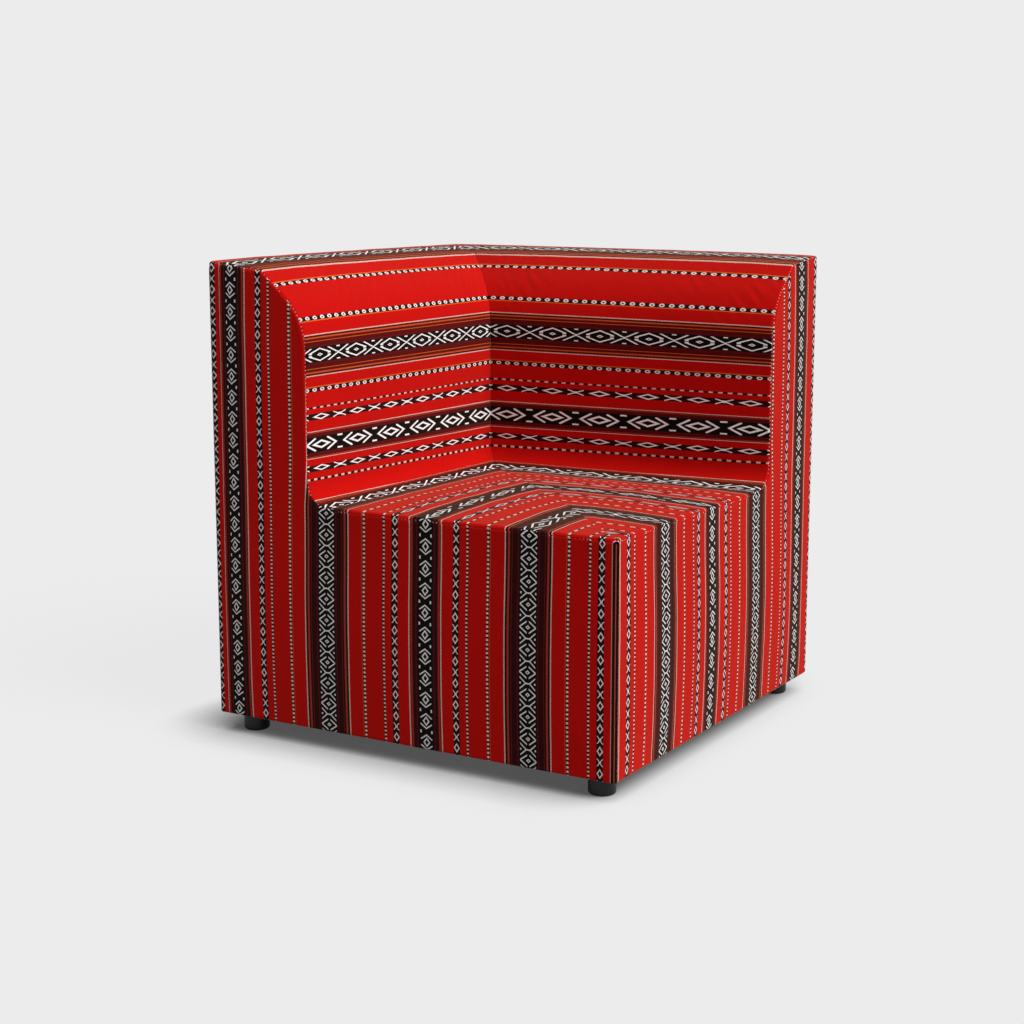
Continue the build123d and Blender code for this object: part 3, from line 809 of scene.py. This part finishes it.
def leftFace(side):
    # The flat panel at y = -half. Near its outline it bends back by the edge radius and dips in the seam's
    # furrow, along the outline's inward direction and into the body alike.
    flat, turned, cells, upper = faceGrid()
    u, v = flat[..., 0], flat[..., 1]
    inward, height = roundOver(turned, v, body["hemRadius"])
    points = np.stack([u - half, inward - half, height + base], -1)
    block = (slice(0, face["cells"]["back"] + 1), slice(upper, None))
    gap, run, way = toOutline(flat[block].reshape(-1, 2))
    a, e = roundOver(np.zeros_like(gap), gap, edgeRadius(run))
    dip = furrow(gap, *seams["edge"]) / math.sqrt(2)
    shape = u[block].shape
    shift = way * (e - gap + dip)[:, None]
    points[block] += np.stack([shift[:, 0], a + dip, shift[:, 1]], -1).reshape(*shape, 3)
    seatSeam = v - (body["seat"] - body["skirt"])
    toSeat = np.where(u >= body["seam"] - 1e-6, np.abs(seatSeam), np.hypot(u - body["seam"], seatSeam))
    toSide = np.minimum(u, 2 * half - u)
    points[..., 1] += furrow(toSide, *seams["side"])
    toSeam = np.minimum(toSide, toSeat)
    toSeam[block] = np.minimum(toSeam[block], gap.reshape(shape))
    return {
        "points": points, "cells": cells, "gap": np.minimum(toSeam, np.where(turned > 0, 0, v)),
        "seatGap": toSeat, "u": u, "v": v - turned,
        "pattern": atVertices(bandAt(u, side, v), v - turned),
        "threads": atVertices(u, v - turned),
    }


# Backrest cloth: from the seam on the outer back, over the top, down the front and into the cove
backrest = {
    "cells": {"section": 160, "length": 176},
    "stretch": 2.78,                              # its figures are this much longer than on the faces
    "firstDiamond": 40.0,                         # mm from the face to the first diamond
    "lines": 1.4, "ringHalf": 3.0,                # dots and rings are woven this much wider here
    "seamPlace": 655.0,                           # pattern place at the outer back seam
    # (mm from the outer back, pattern place there), then (height in mm, pattern place there)
    "topBand": ((26.0, 626.0), (33.0, 598.5), (73.0, 565.5), (121.0, 538.0), (126.5, 533.0)),
    "upperRings": (761.5, 507.0),
    "front": (
        (705.0, 269.0), (678.5, 238.0), (658.0, 212.0), (631.0, 176.0), (609.5, 150.0), (586.5, 119.0),
        (556.0, 80.0), (546.5, 65.0), (534.5, 52.0), (515.5, 30.5), (507.0, 13.5), (480.0, -13.5),
        (470.5, -30.5), (459.5, -52.0), (448.0, -65.0), (434.5, -80.0), (429.0, -86.0),
    ),
    "ringPlaces": (269.0, 119.0),
    # (mm before the end of the section, pattern place there)
    "cove": ((0.0, -199.0), (21.5, -177.5), (34.0, -150.0), (39.0, -145.0)),
    # (height, how much higher the stripes lie at the inner corner than at the face)
    "fan": ((420, -9.0), (460, -6.5), (550, -1.0), (660, 3.0), (760, 4.0), (785, 0.0)),
    "crown": 0.0016, "ripple": 0.0004, "slantMiddle": 0.75, "slantReach": 0.06,
    "mitreEnd": 0.03,                             # the mitre's furrow fades out below the top
    "fanEnd": 0.03,                               # the fan leaves out the last of the cove
}


def backPlan():
    # Three stretches of (distance along the section, pattern place); the pattern jumps in the plain red
    # between them. Rings get a wider patch, so each is given as two points round its middle.
    reach = backrest["ringHalf"]
    wide = reach * backrest["lines"]

    def ringPoints(middle, value):
        return [(middle - wide, value + reach), (middle + wide, value - reach)]

    height, value = backrest["upperRings"]
    middle = runAtHeight(height * mm) * 1000
    top = [(runAtDepth(depth * mm) * 1000, place) for depth, place in backrest["topBand"]]
    top.insert(0, (0.0, backrest["seamPlace"]))
    top += [(middle - wide - 4.2, value + 6), *ringPoints(middle, value), (middle + 20, value - 8)]
    front = []
    for height, value in backrest["front"]:
        middle = runAtHeight(height * mm) * 1000
        front += ringPoints(middle, value) if value in backrest["ringPlaces"] else [(middle, value)]
    front = [(front[0][0] - 20, front[0][1] + 8)] + front + [(front[-1][0] + 12, front[-1][1] - 5)]
    end = sectionRun[-1] * 1000
    cove = [(end - back, place) for back, place in backrest["cove"]]
    return [np.array(sorted(part)) for part in (top, front, cove)]


def backPattern(run):
    # The pattern place at the corners of each cell, read from the stretch that holds the cell's middle
    parts = backPlan()
    cuts = [(before[-1, 0] + after[0, 0]) / 2 for before, after in zip(parts, parts[1:])]
    corners = cornersOf(run[..., None])[..., 0] * 1000
    which = np.searchsorted(cuts, corners.mean(-1))
    places = np.zeros(corners.shape)
    for index, part in enumerate(parts):
        held = which == index
        places[held] = np.interp(corners[held], part[:, 0], part[:, 1])
    return places * mm


def figureAlong(a):
    # Where a point that lies `a` from the face is along the pattern, on the backrest and the seat
    return ((a * 1000 - backrest["firstDiamond"]) / backrest["stretch"] + sadu["start"]) * mm


def leftBack(side):
    # The section carried along the outer back, from the face to the mitre: (u, v) of the section, moved in
    # along its normal by the edge radius at the face and by the furrows at the seams
    n = backrest["cells"]
    run = graded(n["section"], tight=0.25) * sectionRun[-1]
    line, way = alongSection(run, section), alongSection(run, sectionInward)
    u, v = line[:, :1], line[:, 1:]
    length = 2 * half - u
    a = length * graded(n["length"])[None, :]     # distance from the face
    inward, e = roundOver(a, np.zeros_like(a), edgeRadius(run)[:, None])
    run = run[:, None]
    dip = furrow(a, *seams["edge"]) / math.sqrt(2)
    toMitre = (length - a) / math.sqrt(2)
    onTop = np.clip(1 - (run - runAtDepth(body["topDepth"])) / backrest["mitreEnd"], 0, 1)
    endSeam = np.minimum(run, sectionRun[-1] - run)
    sink = e + dip + furrow(toMitre, *seams["mitre"]) * onTop + furrow(endSeam, *seams["end"])
    points = np.stack([u - half + way[:, :1] * sink, inward + dip - half, v + base + way[:, 1:] * sink], -1)
    heights, fan = np.array(backrest["fan"]).T
    climb = np.interp(v * 1000, heights, fan) * (sectionRun[-1] - run > backrest["fanEnd"]) * mm
    pattern = atVertices(run, figureAlong(a))
    pattern[..., 0] = backPattern(run + climb * a / length)
    wideRun = np.broadcast_to(run, a.shape)
    return {
        "points": points, "cells": np.ones((n["section"], n["length"]), bool),
        "gap": np.minimum(np.minimum(a, toMitre), endSeam), "u": wideRun, "v": a,
        "onSlant": furrow(run - runAtHeight(backrest["slantMiddle"]), 1, backrest["slantReach"]),
        "pattern": pattern, "threads": atVertices(wideRun, a),
    }


# Seat cloth: half the seat, from the diagonal to the front edge and down to its seam
seatCloth = {
    "cells": {"across": 112, "length": 92, "skirt": 6},
    "crown": 0.0065, "mitre": (0.0010, 0.004),
    "ripple": 0.0006, "pucker": 0.0004, "puckerLength": 0.036, "puckerReach": 0.02, "heldReach": 0.005,
}


def leftSeat(side):
    # A flat half of the seat with a skirt over its front edge. It swells by crown * (1 - |2x - 1| ** 3) *
    # (1 - |2y - 1| ** 3) over the whole seat, less the furrows at the mitre and in the cove.
    n = seatCloth["cells"]
    width = 2 * half - body["seam"]
    x = (body["seam"] + graded(n["across"], tight=0.4) * width)[:, None]       # from the outer back
    flatLength = 2 * half - x
    down = np.linspace(body["skirt"], 0, n["skirt"] + 1)[None, :-1]
    a = flatLength * graded(n["length"], tight=0.5)[None, :]
    a = np.concatenate([np.zeros((len(x), n["skirt"])), a], 1)
    e = np.concatenate([np.repeat(down, len(x), 0), np.zeros((len(x), n["length"] + 1))], 1)
    wide = np.broadcast_to(x, a.shape)
    points = roundPlan(np.stack([wide - half, a - half, np.full(a.shape, base + body["seat"])], -1))
    # distance to the rounded plan outline, and the way in from it
    inner = half - body["cornerRadius"]
    dx, dy = points[..., 0] - inner, -points[..., 1] - inner
    corner = (dx > 0) & (dy > 0)
    reach = np.maximum(np.hypot(dx, dy), 1e-9)
    edge = np.where(corner, body["cornerRadius"] - reach, points[..., 1] + half)
    way = np.where(corner[..., None], np.stack([-dx / reach, dy / reach], -1), np.array([0.0, 1.0]))
    inward, drop = roundOver(edge, e, np.full(a.shape, body["seatRadius"]))
    points[..., :2] += way * (inward - edge)[..., None]
    swellX, swellY = (1 - np.abs(2 * share - 1) ** 3 for share in ((wide - body["seam"]) / width, a / width))
    toMitre, toCove = (flatLength - a) / math.sqrt(2), wide - body["seam"]
    sink = furrow(toMitre, *seatCloth["mitre"]) * (e <= 0) + furrow(toCove, *seams["end"])
    points[..., 2] += seatCloth["crown"] * (swellX * swellY * (e <= 0)) - drop - sink
    path = a - e
    pattern = atVertices(bandAt(wide, side), figureAlong(path))
    pattern[:, :n["skirt"]] = atVertices(bandAt(wide, side), body["seat"] - e)[:, :n["skirt"]]
    return {
        "points": points, "cells": np.ones((n["across"], n["skirt"] + n["length"]), bool),
        "gap": np.minimum(np.minimum(toMitre, toCove), np.where(e > 0, body["skirt"] - e, 1.0)),
        "u": wide, "v": path, "edge": furrow(path, 1, seatCloth["puckerReach"]), "planned": True,
        "held": path < seatCloth["heldReach"],
        "pattern": pattern, "threads": atVertices(wide, path + body["skirt"]),
    }


# Outer back cloth: the flat hidden sides
outer = {"cells": {"width": 120, "hem": 6, "height": 120}, "crown": 0.003, "ripple": 0.0003}


def leftOuter(side):
    # The flat panel at x = -half, with its hem turned in under the body and furrows at its seams
    n = outer["cells"]
    w = graded(n["width"], tight=0.5)[:, None] * 2 * half          # from the face round to the back corner
    rise = graded(n["height"], tight=0.4)[None, :] * body["backSeam"]
    hem = np.minimum(body["hem"], np.minimum(w, 2 * half - w)) * np.linspace(1, 0, n["hem"] + 1)[None, :-1]
    turned = np.concatenate([hem, np.zeros((len(w), n["height"] + 1))], 1)
    v = np.concatenate([np.zeros((len(w), n["hem"])), np.repeat(rise, len(w), 0)], 1)
    wide = np.broadcast_to(w, v.shape)
    inward, height = roundOver(turned, v, body["hemRadius"])
    toSide, toTop = np.minimum(wide, 2 * half - wide), body["backSeam"] - v
    inward = inward + furrow(toTop, *seams["end"]) + furrow(toSide, *seams["side"]) * (turned <= 0)
    return {
        "points": np.stack([inward - half, wide - half, height + base], -1),
        "cells": np.ones((n["width"], n["hem"] + n["height"]), bool),
        "gap": np.minimum(np.minimum(toSide, toTop), np.where(turned > 0, 0, v)),
        "u": wide, "v": v - turned, "flip": True,
        "pattern": atVertices(bandAt(np.zeros(1), side) - wide, v - turned),
        "threads": atVertices(wide, v - turned),
    }


def lifted(points):
    # Raises the upper part towards the back corner: lift * (share along both backs) ** liftPower * (share of
    # the height above liftFrom)
    x, y, z = points[..., 0], points[..., 1], points[..., 2]
    place = np.clip((half - x) / (2 * half), 0, 1) * np.clip((half + y) / (2 * half), 0, 1)
    above = np.clip((z - body["liftFrom"]) / (base + body["height"] - body["liftFrom"]), 0, 1)
    moved = points.copy()
    moved[..., 2] += body["lift"] * place ** body["liftPower"] * above
    return moved


def finishShape(part, mirror):
    # The corners of the plan are rounded last, then the right-hand twin is mirrored
    points = lifted(part["points"] if part.get("planned") else roundPlan(part["points"]))
    part = dict(part, points=mirrored(points) if mirror else points)
    part["flip"] = bool(part.get("flip")) != mirror
    return part


makers = {"face": leftFace, "back": leftBack, "seat": leftSeat, "outer": leftOuter}
panels = {
    f"{side}_{kind}_cloth": dict(finishShape(make(side), side == "right"), kind=kind, side=side)
    for kind, make in makers.items() for side in ("left", "right")
}
print("cloth panels laid out:", len(panels))

# Tension: each panel is pressed from behind while its seams stay where they are
tension = {
    "pressure": {"face": 0.03, "back": 0.09, "seat": 0.16, "outer": 0.02},
    "cap": {"face": 0.0022, "back": 0.0024, "seat": 0.0030, "outer": 0.0030},
    "frames": 20,
    "cloth": {
        "quality": 4, "mass": 0.3, "use_pressure": True, "vertex_group_mass": "seams",
        "tension_stiffness": 80.0, "compression_stiffness": 80.0, "shear_stiffness": 30.0,
        "bending_stiffness": 3.0,
    },
}


def hung(name, part):
    # Every second grid point of a panel as a cloth object, held along its edges and where the part says so
    points, cells = part["points"][::2, ::2], part["cells"][::2, ::2]
    piece, index = meshFromGrid(name + "_sim", points, cells, {}, part["flip"])
    pinned = edgeOf(cells)
    if "held" in part:
        pinned = pinned | part["held"][::2, ::2]
    held = piece.vertex_groups.new(name="seams")
    held.add(np.unique(index[pinned & (index >= 0)]).tolist(), 1.0, "REPLACE")
    cloth = piece.modifiers.new("cloth", "CLOTH")
    for key, value in tension["cloth"].items():
        setattr(cloth.settings, key, value)
    cloth.settings.uniform_pressure_force = tension["pressure"][part["kind"]]
    cloth.settings.effector_weights.gravity = 0
    cloth.point_cache.frame_end = tension["frames"]
    return name, part, piece, index, points


def blown(parts):
    # Cloth simulation of all panels together. What comes back is how far each grid point moved, limited by
    # cap * tanh(distance / cap) and spread to the points between.
    made = [hung(name, part) for name, part in parts.items()]
    for moment in range(1, tension["frames"] + 1):
        scene.frame_set(moment)
    graph = bpy.context.evaluated_depsgraph_get()
    moved = {}
    for name, part, piece, index, points in made:
        mesh = piece.evaluated_get(graph).data
        now = np.zeros(len(mesh.vertices) * 3, np.float32)
        mesh.vertices.foreach_get("co", now)
        step = now.reshape(-1, 3)[np.maximum(index, 0)] - points
        step[index < 0] = 0
        reach = np.maximum(np.linalg.norm(step, axis=-1, keepdims=True), 1e-9)
        cap = tension["cap"][part["kind"]]
        most, mean = reach.max() * 1000, reach.mean() * 1000
        print(f"  {name}: moved {most:.1f} mm at most, {mean:.2f} mm on average")
        step = step * cap * np.tanh(reach / cap) / reach
        fine = np.zeros(part["points"].shape)
        fine[::2, ::2] = step
        fine[1::2, ::2] = (step[:-1] + step[1:]) / 2
        fine[:, 1::2] = (fine[:, :-2:2] + fine[:, 2::2]) / 2
        moved[name] = fine
    for name, part, piece, index, points in made:
        bpy.data.objects.remove(piece)
    scene.frame_set(1)
    return moved


moved = blown(panels)
print("cloth pulled over the seat")

# Small tension marks that the weave shows near its seams and on the slants, along each panel's normals
shine = {"face": face, "back": backrest, "seat": seatCloth, "outer": outer}
creases = {
    "seamReach": 0.010, "crownReach": 0.09, "calmReach": 0.12, "puckerReach": 0.018, "rippleLength": 0.11,
    "slantDepth": 0.0030, "slantLength": 0.020, "slantPatch": 0.21,
}


def calm(part):
    # The face cloth runs on flat into the seat's skirt: 1 - exp(-(distance to that seam / calmReach) ** 2)
    return 1 - furrow(part["seatGap"], 1, creases["calmReach"]) if part["kind"] == "face" else 1.0


def marks(part, seed):
    # crown * (1 - exp(-(gap / crownReach) ** 2)) plus sums of sines, all of it nothing at the seams
    settings = shine[part["kind"]]
    u, v, gap = part["u"], part["v"], part["gap"]
    free = 1 - furrow(gap, 1, creases["seamReach"])
    move = settings["crown"] * (1 - furrow(gap, 1, creases["crownReach"])) * (part["kind"] != "seat")
    move = move + settings["ripple"] * ripples(u, v, 1.2, creases["rippleLength"], seed) * free
    if part["kind"] == "back":
        fine = ripples(u, v, 0.75, creases["slantLength"], seed + 1, 8, 0.25)
        fine = fine * ripples(u, v, 2.2, creases["slantPatch"], seed + 2)
        move = move + creases["slantDepth"] * fine * part["onSlant"] * free
    if part["kind"] == "seat":
        folds = ripples(u, v, 0.0, settings["puckerLength"], seed + 3, 4, 0.15)
        move = move + settings["pucker"] * folds * part["edge"] * free
    if part["kind"] == "face":
        near = np.exp(-gap / creases["puckerReach"]) * free
        folds = ripples(u, v, 0.7, settings["puckerLength"], seed + 4, 5, 0.9)
        move = (move + settings["pucker"] * folds * near) * calm(part)
    return move


def clothArea(part):
    # Half the cross product of each cell's two diagonals, summed
    points, cells = part["points"], part["cells"]
    diagonals = np.cross(points[1:, 1:] - points[:-1, :-1], points[:-1, 1:] - points[1:, :-1])
    return float(np.linalg.norm(diagonals, axis=-1)[cells].sum() / 2)


pieces = {}
clothThickness = 0.0015
looks = {"face": "cloth", "back": "backCloth", "seat": "seatCloth", "outer": "cloth"}
for seed, (name, part) in enumerate(panels.items()):
    part["area"] = clothArea(part)
    away = outward(part["points"]) * (-1 if part["flip"] else 1)
    pulled = moved.get(name, 0) * np.broadcast_to(calm(part), part["u"].shape)[..., None]
    part["points"] = part["points"] + pulled + away * marks(part, 100 + 10 * seed)[..., None]
    layers = {"pattern": part["pattern"], "threads": part["threads"]}
    piece = meshFromGrid(name, part["points"], part["cells"], layers, part["flip"])[0]
    node = f"{part['kind']}_cover_{part['side']}"
    pieces[name] = dressed(piece, looks[part["kind"]], node, clothThickness)
print("cloth pieces made:", ", ".join(pieces))

# Wadding behind the flat sides: the cloth's own surface, moved in and thickened
padding = {
    "inset": 0.0021, "thick": 0.0042, "clear": 0.005, "seatFoamFrom": 0.2905,
    "voxel": 0.006, "rounds": 6, "soften": 0.5, "under": 0.0030,
    "fill": {"wadding": 0.9, "foam": 0.95},
}


def wadding(name, part, node):
    # Every second grid point, moved in along the normal; on the faces it stops where the seat's foam begins
    points = part["points"][::2, ::2]
    away = outward(points) * (-1 if part["flip"] else 1)
    u, v = part["u"][::2, ::2], part["v"][::2, ::2]
    clear = cornersOf(part["gap"][::2, ::2] > padding["clear"]).all(2)
    cells = part["cells"][::2, ::2] & (v[:-1, :-1] > -0.001) & clear
    if part["kind"] == "face":
        cells &= (u[1:, :-1] < body["seam"] + 0.001) | (v[:-1, 1:] < padding["seatFoamFrom"])
    piece = meshFromGrid(name, points - away * padding["inset"], cells, {}, part["flip"])[0]
    dressed(piece, "wadding", node, padding["thick"])
    return piece


for side in ("left", "right"):
    for kind, node in (("face", "face_padding_"), ("outer", "back_padding_")):
        name = f"{side}_{kind}_wadding"
        pieces[name] = wadding(name, panels[f"{side}_{kind}_cloth"], node + side)
print("wadding made")


# Foam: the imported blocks' own forms, softened and kept under the cloth
def skinOf(names):
    # One open skin of the cloth panels for the foam to stay inside
    joined = bmesh.new()
    for name in names:
        joined.from_mesh(pieces[name].data)
    bmesh.ops.remove_doubles(joined, verts=joined.verts, dist=1e-5)
    mesh = bpy.data.meshes.new("skin")
    joined.to_mesh(mesh)
    joined.free()
    return placed("skin", mesh)


def foamBlock(name, node, skin):
    # Voxels give the block an even mesh, smoothing rounds its edges, and a shrinkwrap keeps it in the skin
    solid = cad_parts[node].data.copy()
    points = np.zeros(len(solid.vertices) * 3, np.float32)
    solid.vertices.foreach_get("co", points)
    solid.vertices.foreach_set("co", lifted(points.reshape(-1, 3)).ravel())
    block = placed(name, solid)
    remesh = block.modifiers.new("remesh", "REMESH")
    remesh.mode, remesh.voxel_size = "VOXEL", padding["voxel"]
    soften = block.modifiers.new("soften", "SMOOTH")
    soften.iterations, soften.factor = padding["rounds"], padding["soften"]
    inside = block.modifiers.new("inside", "SHRINKWRAP")
    inside.target, inside.wrap_method, inside.wrap_mode = skin, "NEAREST_SURFACEPOINT", "INSIDE"
    inside.offset = padding["under"]
    bpy.context.view_layer.update()
    graph = bpy.context.evaluated_depsgraph_get()
    mesh = bpy.data.meshes.new_from_object(block.evaluated_get(graph))
    block.modifiers.clear()
    mesh.polygons.foreach_set("use_smooth", np.ones(len(mesh.polygons), bool))
    block.data = mesh
    dressed(block, "foam", node)
    return block


skin = skinOf(panels)
foamBlocks = {
    "seat_foam_block": "seat_foam", "left_back_foam": "back_foam_left", "right_back_foam": "back_foam_right",
}
for name, node in foamBlocks.items():
    pieces[name] = foamBlock(name, node, skin)
bpy.data.objects.remove(skin)
print("foam made")

# The padded strip folded over the front corner's seam: two lips with a valley between, and a round top end
pleat = {
    "halfWidth": 0.0068, "foot": 0.036, "tip": 0.4244, "rise": 0.0016, "valley": 0.0013, "fold": 0.0010,
    "seat": 0.0003, "fullness": 0.0011, "lumps": 0.00022, "thick": 0.0012,
    "cells": {"across": 60, "straight": 95, "round": 25},
    # (mm from the outline, pattern place there)
    "threads": ((0, 149.2), (1.5, 151.3), (1.6, 151.6), (5.9, 154.6), (6.0, 155.4), (6.8, 157.2)),
}


def cornerPleat():
    # Across the strip, s runs from -1 to 1. Its half width is constant up to the round end and then follows
    # the circle sqrt(width ** 2 - (z - centre) ** 2); a point lies s * half width along the corner's arc.
    # Above the seat's edge it follows that edge's own arc inwards.
    n, width, seatRadius = pleat["cells"], pleat["halfWidth"], body["seatRadius"]
    centre = pleat["tip"] - width
    straight = pleat["foot"] + (centre - pleat["foot"]) * np.linspace(0, 1, n["straight"] + 1)
    roundEnd = centre + width * np.sin(np.linspace(0, np.pi / 2, n["round"] + 1))[1:]
    z = np.concatenate([straight, roundEnd])[None, :]
    wide = np.sqrt(np.clip(width ** 2 - np.clip(z - centre, 0, None) ** 2, 0, None))
    s = np.sin(np.linspace(-1, 1, n["across"] + 1) * np.pi / 2 * 0.999)[:, None]
    w = s * wide
    inside = np.clip(np.where(z > centre, width - np.hypot(w, z - centre), wide - np.abs(w)), 0, None)
    full = 1 - np.exp(-inside / pleat["fullness"])
    lumps = pleat["lumps"] * ripples(z * np.ones_like(w), w, 0.1, 0.034, 61, 4, 0.4)
    out = pleat["rise"] * full - furrow(w, pleat["valley"], pleat["fold"]) - pleat["seat"] * (1 - full)
    above = np.clip(z - (base + body["seat"] - seatRadius), 0, 0.98 * seatRadius)
    r = body["cornerRadius"] + out + lumps * full - (seatRadius - np.sqrt(seatRadius ** 2 - above ** 2))
    turn = -np.pi / 4 + w / body["cornerRadius"]
    inner = half - body["cornerRadius"]
    high = np.broadcast_to(z, w.shape)
    points = np.stack([inner + r * np.cos(turn), -inner + r * np.sin(turn), high], -1)
    places, values = np.array(pleat["threads"]).T
    layers = {
        "pattern": atVertices(np.interp(inside * 1000, places, values) * mm, high - base),
        "threads": atVertices(w, high - base),
    }
    cells = np.ones((n["across"], z.shape[1] - 1), bool)
    piece = meshFromGrid("corner_pleat", points, cells, layers)[0]
    return dressed(piece, "cloth", thick=pleat["thick"])


pieces["corner_pleat"] = cornerPleat()

# Black cloth under the body, held by staples through the turned-in hem
underside = {
    "half": 0.388, "face": 0.0341, "sag": 0.0022, "folds": 0.0009, "cells": 96, "thick": 0.0007,
    "footHold": 0.034, "footPlace": 0.352, "footEase": 0.05,
    "staples": 14, "stapleEdge": 0.381, "cornerClear": 0.03, "staple": (0.0105, 0.0009, 0.0006),
}


def dustCloth():
    # Hangs by sag * (1 - x ** 2) * (1 - y ** 2) with shallow folds, and lies flat over each foot
    size = underside["half"]
    line = graded(underside["cells"], tight=0.3) * 2 - 1
    x, y = np.meshgrid(line, line, indexing="ij")
    place = underside["footPlace"] / size
    toFoot = np.hypot(np.abs(x) - place, np.abs(y) - place) * size
    offFoot = np.clip((toFoot - underside["footHold"]) / underside["footEase"], 0, 1)
    free = (1 - x ** 2) * (1 - y ** 2) * offFoot
    folds = ripples(x, y, 0.6, 0.5, 71, 7, 1.4)
    z = underside["face"] - free * (underside["sag"] + underside["folds"] * folds)
    cells = np.ones((underside["cells"],) * 2, bool)
    piece = meshFromGrid("dust_cloth_panel", np.stack([x * size, y * size, z], -1), cells, {}, True)[0]
    return dressed(piece, "dust_cloth", "dust_cover", underside["thick"])


def staples():
    # A flat bar of eight points at each place along the four edges, in turn along X and along Y
    along = (np.arange(underside["staples"]) + 0.5) / underside["staples"] * 2 - 1
    x = along * (underside["stapleEdge"] - underside["cornerClear"])
    edge = np.full_like(x, underside["stapleEdge"])
    places = np.concatenate([np.stack(pair, 1) for pair in ((x, -edge), (x, edge), (-edge, x), (edge, x))])
    turned = np.repeat([0, 0, 1, 1], underside["staples"])
    corner = np.array([(i, j, k) for k in (-1, 1) for j in (-1, 1) for i in (-1, 1)])
    corner = corner * np.array(underside["staple"]) / 2
    bars = np.where(turned[:, None, None] > 0, corner[None][..., [1, 0, 2]], corner[None])
    middle = np.concatenate([places, np.full((len(places), 1), underside["face"])], 1)
    points = bars + middle[:, None]
    sides = np.array([(0, 2, 3, 1), (4, 5, 7, 6), (0, 1, 5, 4), (2, 6, 7, 3), (0, 4, 6, 2), (1, 3, 7, 5)])
    faces = (sides[None] + 8 * np.arange(len(places))[:, None, None]).reshape(-1, 4)
    flipped = np.repeat(turned, len(sides)) > 0
    faces[flipped] = faces[flipped][:, ::-1]
    mesh = bpy.data.meshes.new("hem_staples")
    mesh.from_pydata(points.reshape(-1, 3), [], faces.tolist())
    return dressed(placed("hem_staples", mesh), "zinc_steel")


pieces["dust_cloth_panel"] = dustCloth()
pieces["hem_staples"] = staples()
print("pleat, dust cloth and staples made")

# Flat sizes: the cut of each cloth from its own lengths, and the area where that isn't a rectangle
for name, part in panels.items():
    flat = [float(np.ptp(part["u"])), float(np.ptp(part["v"]))]
    area = min(part["area"], flat[0] * flat[1])

# The paper sweep: it shows its own tone to the camera, with a painted shadow where the seat stands close
# over it
edge = paper["reach"]
floorMesh = bpy.data.meshes.new("floor")
corners = [(-edge, -edge, 0), (edge, -edge, 0), (edge, edge, 0), (-edge, edge, 0)]
floorMesh.from_pydata(corners, [], [(0, 1, 2, 3)])
floor = placed("floor", floorMesh)


def seenBy(bench):
    # 1 for the rays that show a surface itself, 0 for those that only carry its light
    rays = bench.add("LightPath").outputs
    return bench.either(rays["Is Camera Ray"], rays["Is Glossy Ray"], rays["Is Transmission Ray"])


paperMaterial, bench, surface = newMaterial("paper", Roughness=0.9, Specular_IOR_Level=0.0)
seen = seenBy(bench)
bench.put(surface["Base Color"], bench.tint(seen, (*paper["bounce"], 1), (*paper["tone"], 1)))
openTo = bench.add("CombineXYZ", dict(zip("XYZ", paper["openTo"]))).outputs[0]
# Painted shadow: ambient occlusion darkens the glowing tone under the seat, down to the darkest share
near = bench.add("AmbientOcclusion", {"Distance": paper["contact"], "Normal": openTo}, samples=16)
near = bench.calc("SUBTRACT", near.outputs["AO"], paper["closed"])
near = bench.calc("DIVIDE", near, paper["span"], clamp=True)
near = bench.calc("MULTIPLY_ADD", near, 1 - paper["darkest"], paper["darkest"])
own = bench.add("Emission", {"Color": bench.shade((*paper["tone"], 1), near), "Strength": 1.0})
share, lit = bench.calc("MULTIPLY", seen, paper["own"]), surface["Base Color"].node.outputs[0]
mixed = bench.add("MixShader", {0: share, 1: lit, 2: own.outputs[0]})
output = next(node for node in paperMaterial.node_tree.nodes if node.type == "OUTPUT_MATERIAL")
bench.put(output.inputs["Surface"], mixed.outputs[0])
floorMesh.materials.append(paperMaterial)

world = bpy.data.worlds.new("surround")
scene.world = world
world.use_nodes = True
world.node_tree.nodes.clear()
sky = Bench(world.node_tree)
shown = sky.tint(seenBy(sky), (light["around"],) * 3 + (1,), (*paper["tone"], 1))
ground = sky.add("Background", {"Color": shown, "Strength": 1.0})
sky.put(sky.add("OutputWorld").inputs["Surface"], ground.outputs[0])
print("paper and surround set")
